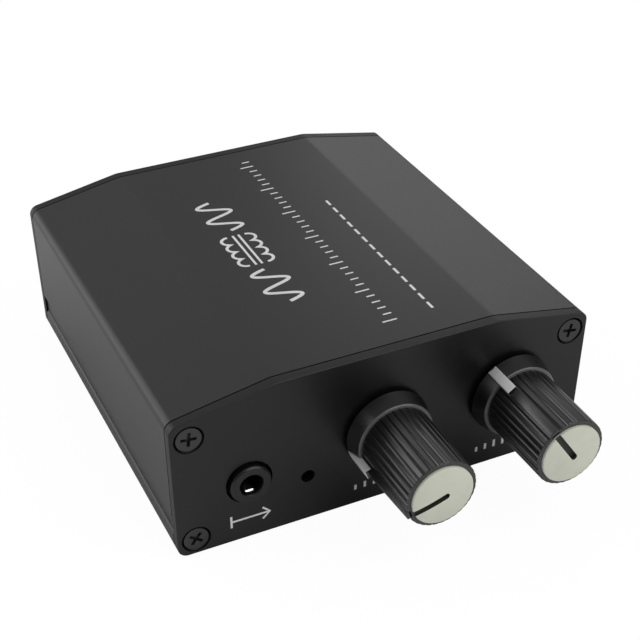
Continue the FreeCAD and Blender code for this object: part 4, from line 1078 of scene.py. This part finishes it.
class AMPLIFIER_OT_front_print(Operator):
    """Print the outlet arrow and the level marks on the front panel"""

    bl_idname = "amplifier.front_print"
    bl_label = "Front print"

    def execute(self, context):
        fine = context.scene.amplifier_print.stroke
        socket_x = node_centre("output_socket").x
        tail, tip = socket_x - ARROW_HALF, socket_x + ARROW_HALF
        barb = tip - ARROW_HEAD
        middle = (PRINT_LOW + PRINT_HIGH) / 2
        lines = {
            "arrow_shaft": [(tail, middle), (tip, middle)],
            "arrow_head": [(barb, PRINT_HIGH), (tip, middle), (barb, PRINT_LOW)],
            "arrow_tail": [(tail, PRINT_LOW), (tail, PRINT_HIGH)],
        }
        strokes = [front_stroke(name, points, fine * ARROW_WIDTH)
                   for name, points in lines.items()]
        for side in SIDES:
            knob_x = HINGES[side]["pos_m"][0]
            for number in range(LEVEL_BARS):
                x = knob_x + (number - LEVEL_BARS // 2) * LEVEL_PITCH
                top = PRINT_LOW + (LEVEL_FIRST + number * LEVEL_STEP) * MM
                bar = [(x, PRINT_LOW), (x, top)]
                strokes.append(front_stroke("level_bar", bar, fine * LEVEL_WIDTH))
        join_print("front_print", strokes)
        return {"FINISHED"}


# Circuit board

BOARD_FINISHES = {
    "circuit_board": "board", "amplifier_chip_1": "chip", "amplifier_chip_2": "chip",
    "amplifier_leads": "tin", "voltage_regulator": "chip", "voltage_regulator_leads": "tin",
    "chip_resistors": "resistor", "chip_capacitors": "ceramic",
}
TRANSFORMER_FINISHES = {"core": "core", "bobbin": "housing", "winding": "wire", "pins": "tin"}
CAPACITOR_FINISHES = {"can": "can", "base": "housing"}


class AMPLIFIER_OT_board(Operator):
    """Give the circuit board and the parts on it their finishes"""

    bl_idname = "amplifier.board"
    bl_label = "Circuit board"

    def execute(self, context):
        for node, material in BOARD_FINISHES.items():
            dress_node(node, material)
        for number in (1, 2):
            for kind, material in TRANSFORMER_FINISHES.items():
                dress_node(f"transformer_{number}_{kind}", material)
        for number in (1, 2, 3, 4):
            for kind, material in CAPACITOR_FINISHES.items():
                dress_node(f"capacitor_{kind}_{number}", material)
        return {"FINISHED"}


# Stage

# The camera that matches the photograph
CAMERA_PLACE = Vector((-82.442, -184.846, 146.793)) * MM
CAMERA_RIGHT = Vector((0.90712, -0.42085, -0.0073))
CAMERA_DOWN = Vector((-0.26721, -0.56243, -0.78244))
CAMERA_FORWARD = Vector((0.32519, 0.71172, -0.62263))
CAMERA_SHIFT = (0.02693, 0.17807)
CAMERA_SENSOR = 36.0
CAMERA_CLIP = (0.01, 20.0)

# Square soft lights: name, place, size and the setting that gives the power
LIGHTS = (
    ("overhead", (-0.05, 0.42, 0.5), 0.5, "top_light"),
    ("left", (-0.55, 0.35, 0.22), 0.8, "side_light"),
    ("behind", (0.5, 0.62, 0.38), 0.4, "back_light"),
    ("front_right", (0.35, -0.5, 0.55), 0.8, "front_light"),
)
LIGHT_AIM = Vector((0, 0, 0.015))

# The floor: its size, its colour, and how much of it glows towards the camera and how brightly
FLOOR_SIZE = 6.0
FLOOR_COLOR = (0.9, 0.9, 0.9, 1)
FLOOR_GLOW_SHARE = 0.93
FLOOR_GLOW = 1.03


def add_camera(lens):
    deselect_all()
    bpy.ops.object.camera_add(location=CAMERA_PLACE)
    camera = bpy.context.active_object
    camera.name = "photo_camera"
    columns = Matrix((CAMERA_RIGHT, -CAMERA_DOWN, -CAMERA_FORWARD)).transposed()
    camera.rotation_euler = columns.to_euler()
    camera.data.sensor_width = CAMERA_SENSOR
    camera.data.lens = lens
    camera.data.shift_x, camera.data.shift_y = CAMERA_SHIFT
    camera.data.clip_start, camera.data.clip_end = CAMERA_CLIP
    bpy.context.scene.camera = camera


def add_panel_light(name, place, size, power):
    """A square soft light at a place, facing the middle of the case."""
    deselect_all()
    bpy.ops.object.light_add(type="AREA", location=place)
    light = bpy.context.active_object
    light.name = name
    light.rotation_euler = (LIGHT_AIM - Vector(place)).to_track_quat("-Z", "Y").to_euler()
    light.data.shape = "SQUARE"
    light.data.size = size
    light.data.energy = power


def floor_material():
    """Pale floor that looks white to the camera and keeps a faint shadow."""
    material = bpy.data.materials.new("pale floor")
    material.use_nodes = True
    tree = material.node_tree
    tree.nodes.clear()
    output = tree.nodes.new("ShaderNodeOutputMaterial")
    diffuse = tree.nodes.new("ShaderNodeBsdfDiffuse")
    glow = tree.nodes.new("ShaderNodeEmission")
    blend = tree.nodes.new("ShaderNodeMixShader")
    path = tree.nodes.new("ShaderNodeLightPath")
    share = tree.nodes.new("ShaderNodeMath")
    diffuse.inputs["Color"].default_value = FLOOR_COLOR
    share.operation = "MULTIPLY"
    share.inputs[1].default_value = FLOOR_GLOW_SHARE
    glow.inputs["Strength"].default_value = FLOOR_GLOW
    tree.links.new(path.outputs["Is Camera Ray"], share.inputs[0])
    tree.links.new(share.outputs["Value"], blend.inputs["Fac"])
    tree.links.new(diffuse.outputs["BSDF"], blend.inputs[1])
    tree.links.new(glow.outputs["Emission"], blend.inputs[2])
    tree.links.new(blend.outputs["Shader"], output.inputs["Surface"])
    return material


def set_world(ambient):
    """White to the camera, a soft even light to everything else."""
    world = bpy.data.worlds.new("studio")
    world.use_nodes = True
    tree = world.node_tree
    background = tree.nodes["Background"]
    path = tree.nodes.new("ShaderNodeLightPath")
    spread = tree.nodes.new("ShaderNodeMapRange")
    spread.inputs["To Min"].default_value = ambient
    spread.inputs["To Max"].default_value = 1.0
    tree.links.new(path.outputs["Is Camera Ray"], spread.inputs["Value"])
    tree.links.new(spread.outputs["Result"], background.inputs["Strength"])
    background.inputs["Color"].default_value = (1, 1, 1, 1)
    bpy.context.scene.world = world


class AMPLIFIER_OT_stage(Operator):
    """Set up the floor, the soft lights and the camera"""

    bl_idname = "amplifier.stage"
    bl_label = "Stage"

    def execute(self, context):
        studio = context.scene.amplifier_studio
        context.scene.view_settings.view_transform = "Standard"
        deselect_all()
        bpy.ops.mesh.primitive_plane_add(size=FLOOR_SIZE, location=(0, 0, 0))
        floor = name_piece("studio_floor")
        floor.data.materials.append(floor_material())
        for name, place, size, power in LIGHTS:
            add_panel_light(name, place, size, getattr(studio, power))
        set_world(studio.ambient)
        add_camera(studio.lens)
        return {"FINISHED"}


class AMPLIFIER_PT_sidebar(Panel):
    """Lists the steps in their order"""

    bl_idname = "AMPLIFIER_PT_sidebar"
    bl_label = "Amplifier"
    bl_space_type = "VIEW_3D"
    bl_region_type = "UI"
    bl_category = "Amplifier"

    def draw(self, context):
        for operator in OPERATORS:
            self.layout.operator(operator.bl_idname)
        for group in SETTINGS:
            column = self.layout.column(heading=group)
            settings = getattr(context.scene, group)
            for name in settings.__annotations__:
                column.prop(settings, name)


SETTINGS = {
    "amplifier_knob": KnobSizes,
    "amplifier_cap": CapSizes,
    "amplifier_print": PrintSizes,
    "amplifier_finish": Finish,
    "amplifier_studio": StudioSettings,
}
OPERATORS = (
    AMPLIFIER_OT_stage,
    AMPLIFIER_OT_case,
    AMPLIFIER_OT_panels,
    AMPLIFIER_OT_sockets,
    AMPLIFIER_OT_controls,
    AMPLIFIER_OT_knobs,
    AMPLIFIER_OT_caps,
    AMPLIFIER_OT_top_print,
    AMPLIFIER_OT_front_print,
    AMPLIFIER_OT_board,
)


def register():
    for group in (*SETTINGS.values(), *OPERATORS, AMPLIFIER_PT_sidebar):
        bpy.utils.register_class(group)
    for name, group in SETTINGS.items():
        setattr(bpy.types.Scene, name, PointerProperty(type=group))


def unregister():
    for name in SETTINGS:
        delattr(bpy.types.Scene, name)
    for group in reversed((*SETTINGS.values(), *OPERATORS, AMPLIFIER_PT_sidebar)):
        bpy.utils.unregister_class(group)


def main():
    register()
    make_materials()
    bpy.ops.amplifier.stage()
    bpy.ops.amplifier.case()
    bpy.ops.amplifier.panels()
    bpy.ops.amplifier.sockets()
    bpy.ops.amplifier.controls()
    bpy.ops.amplifier.knobs()
    bpy.ops.amplifier.caps()
    bpy.ops.amplifier.top_print()
    bpy.ops.amplifier.front_print()
    bpy.ops.amplifier.board()


if __name__ == "__main__":
    main()
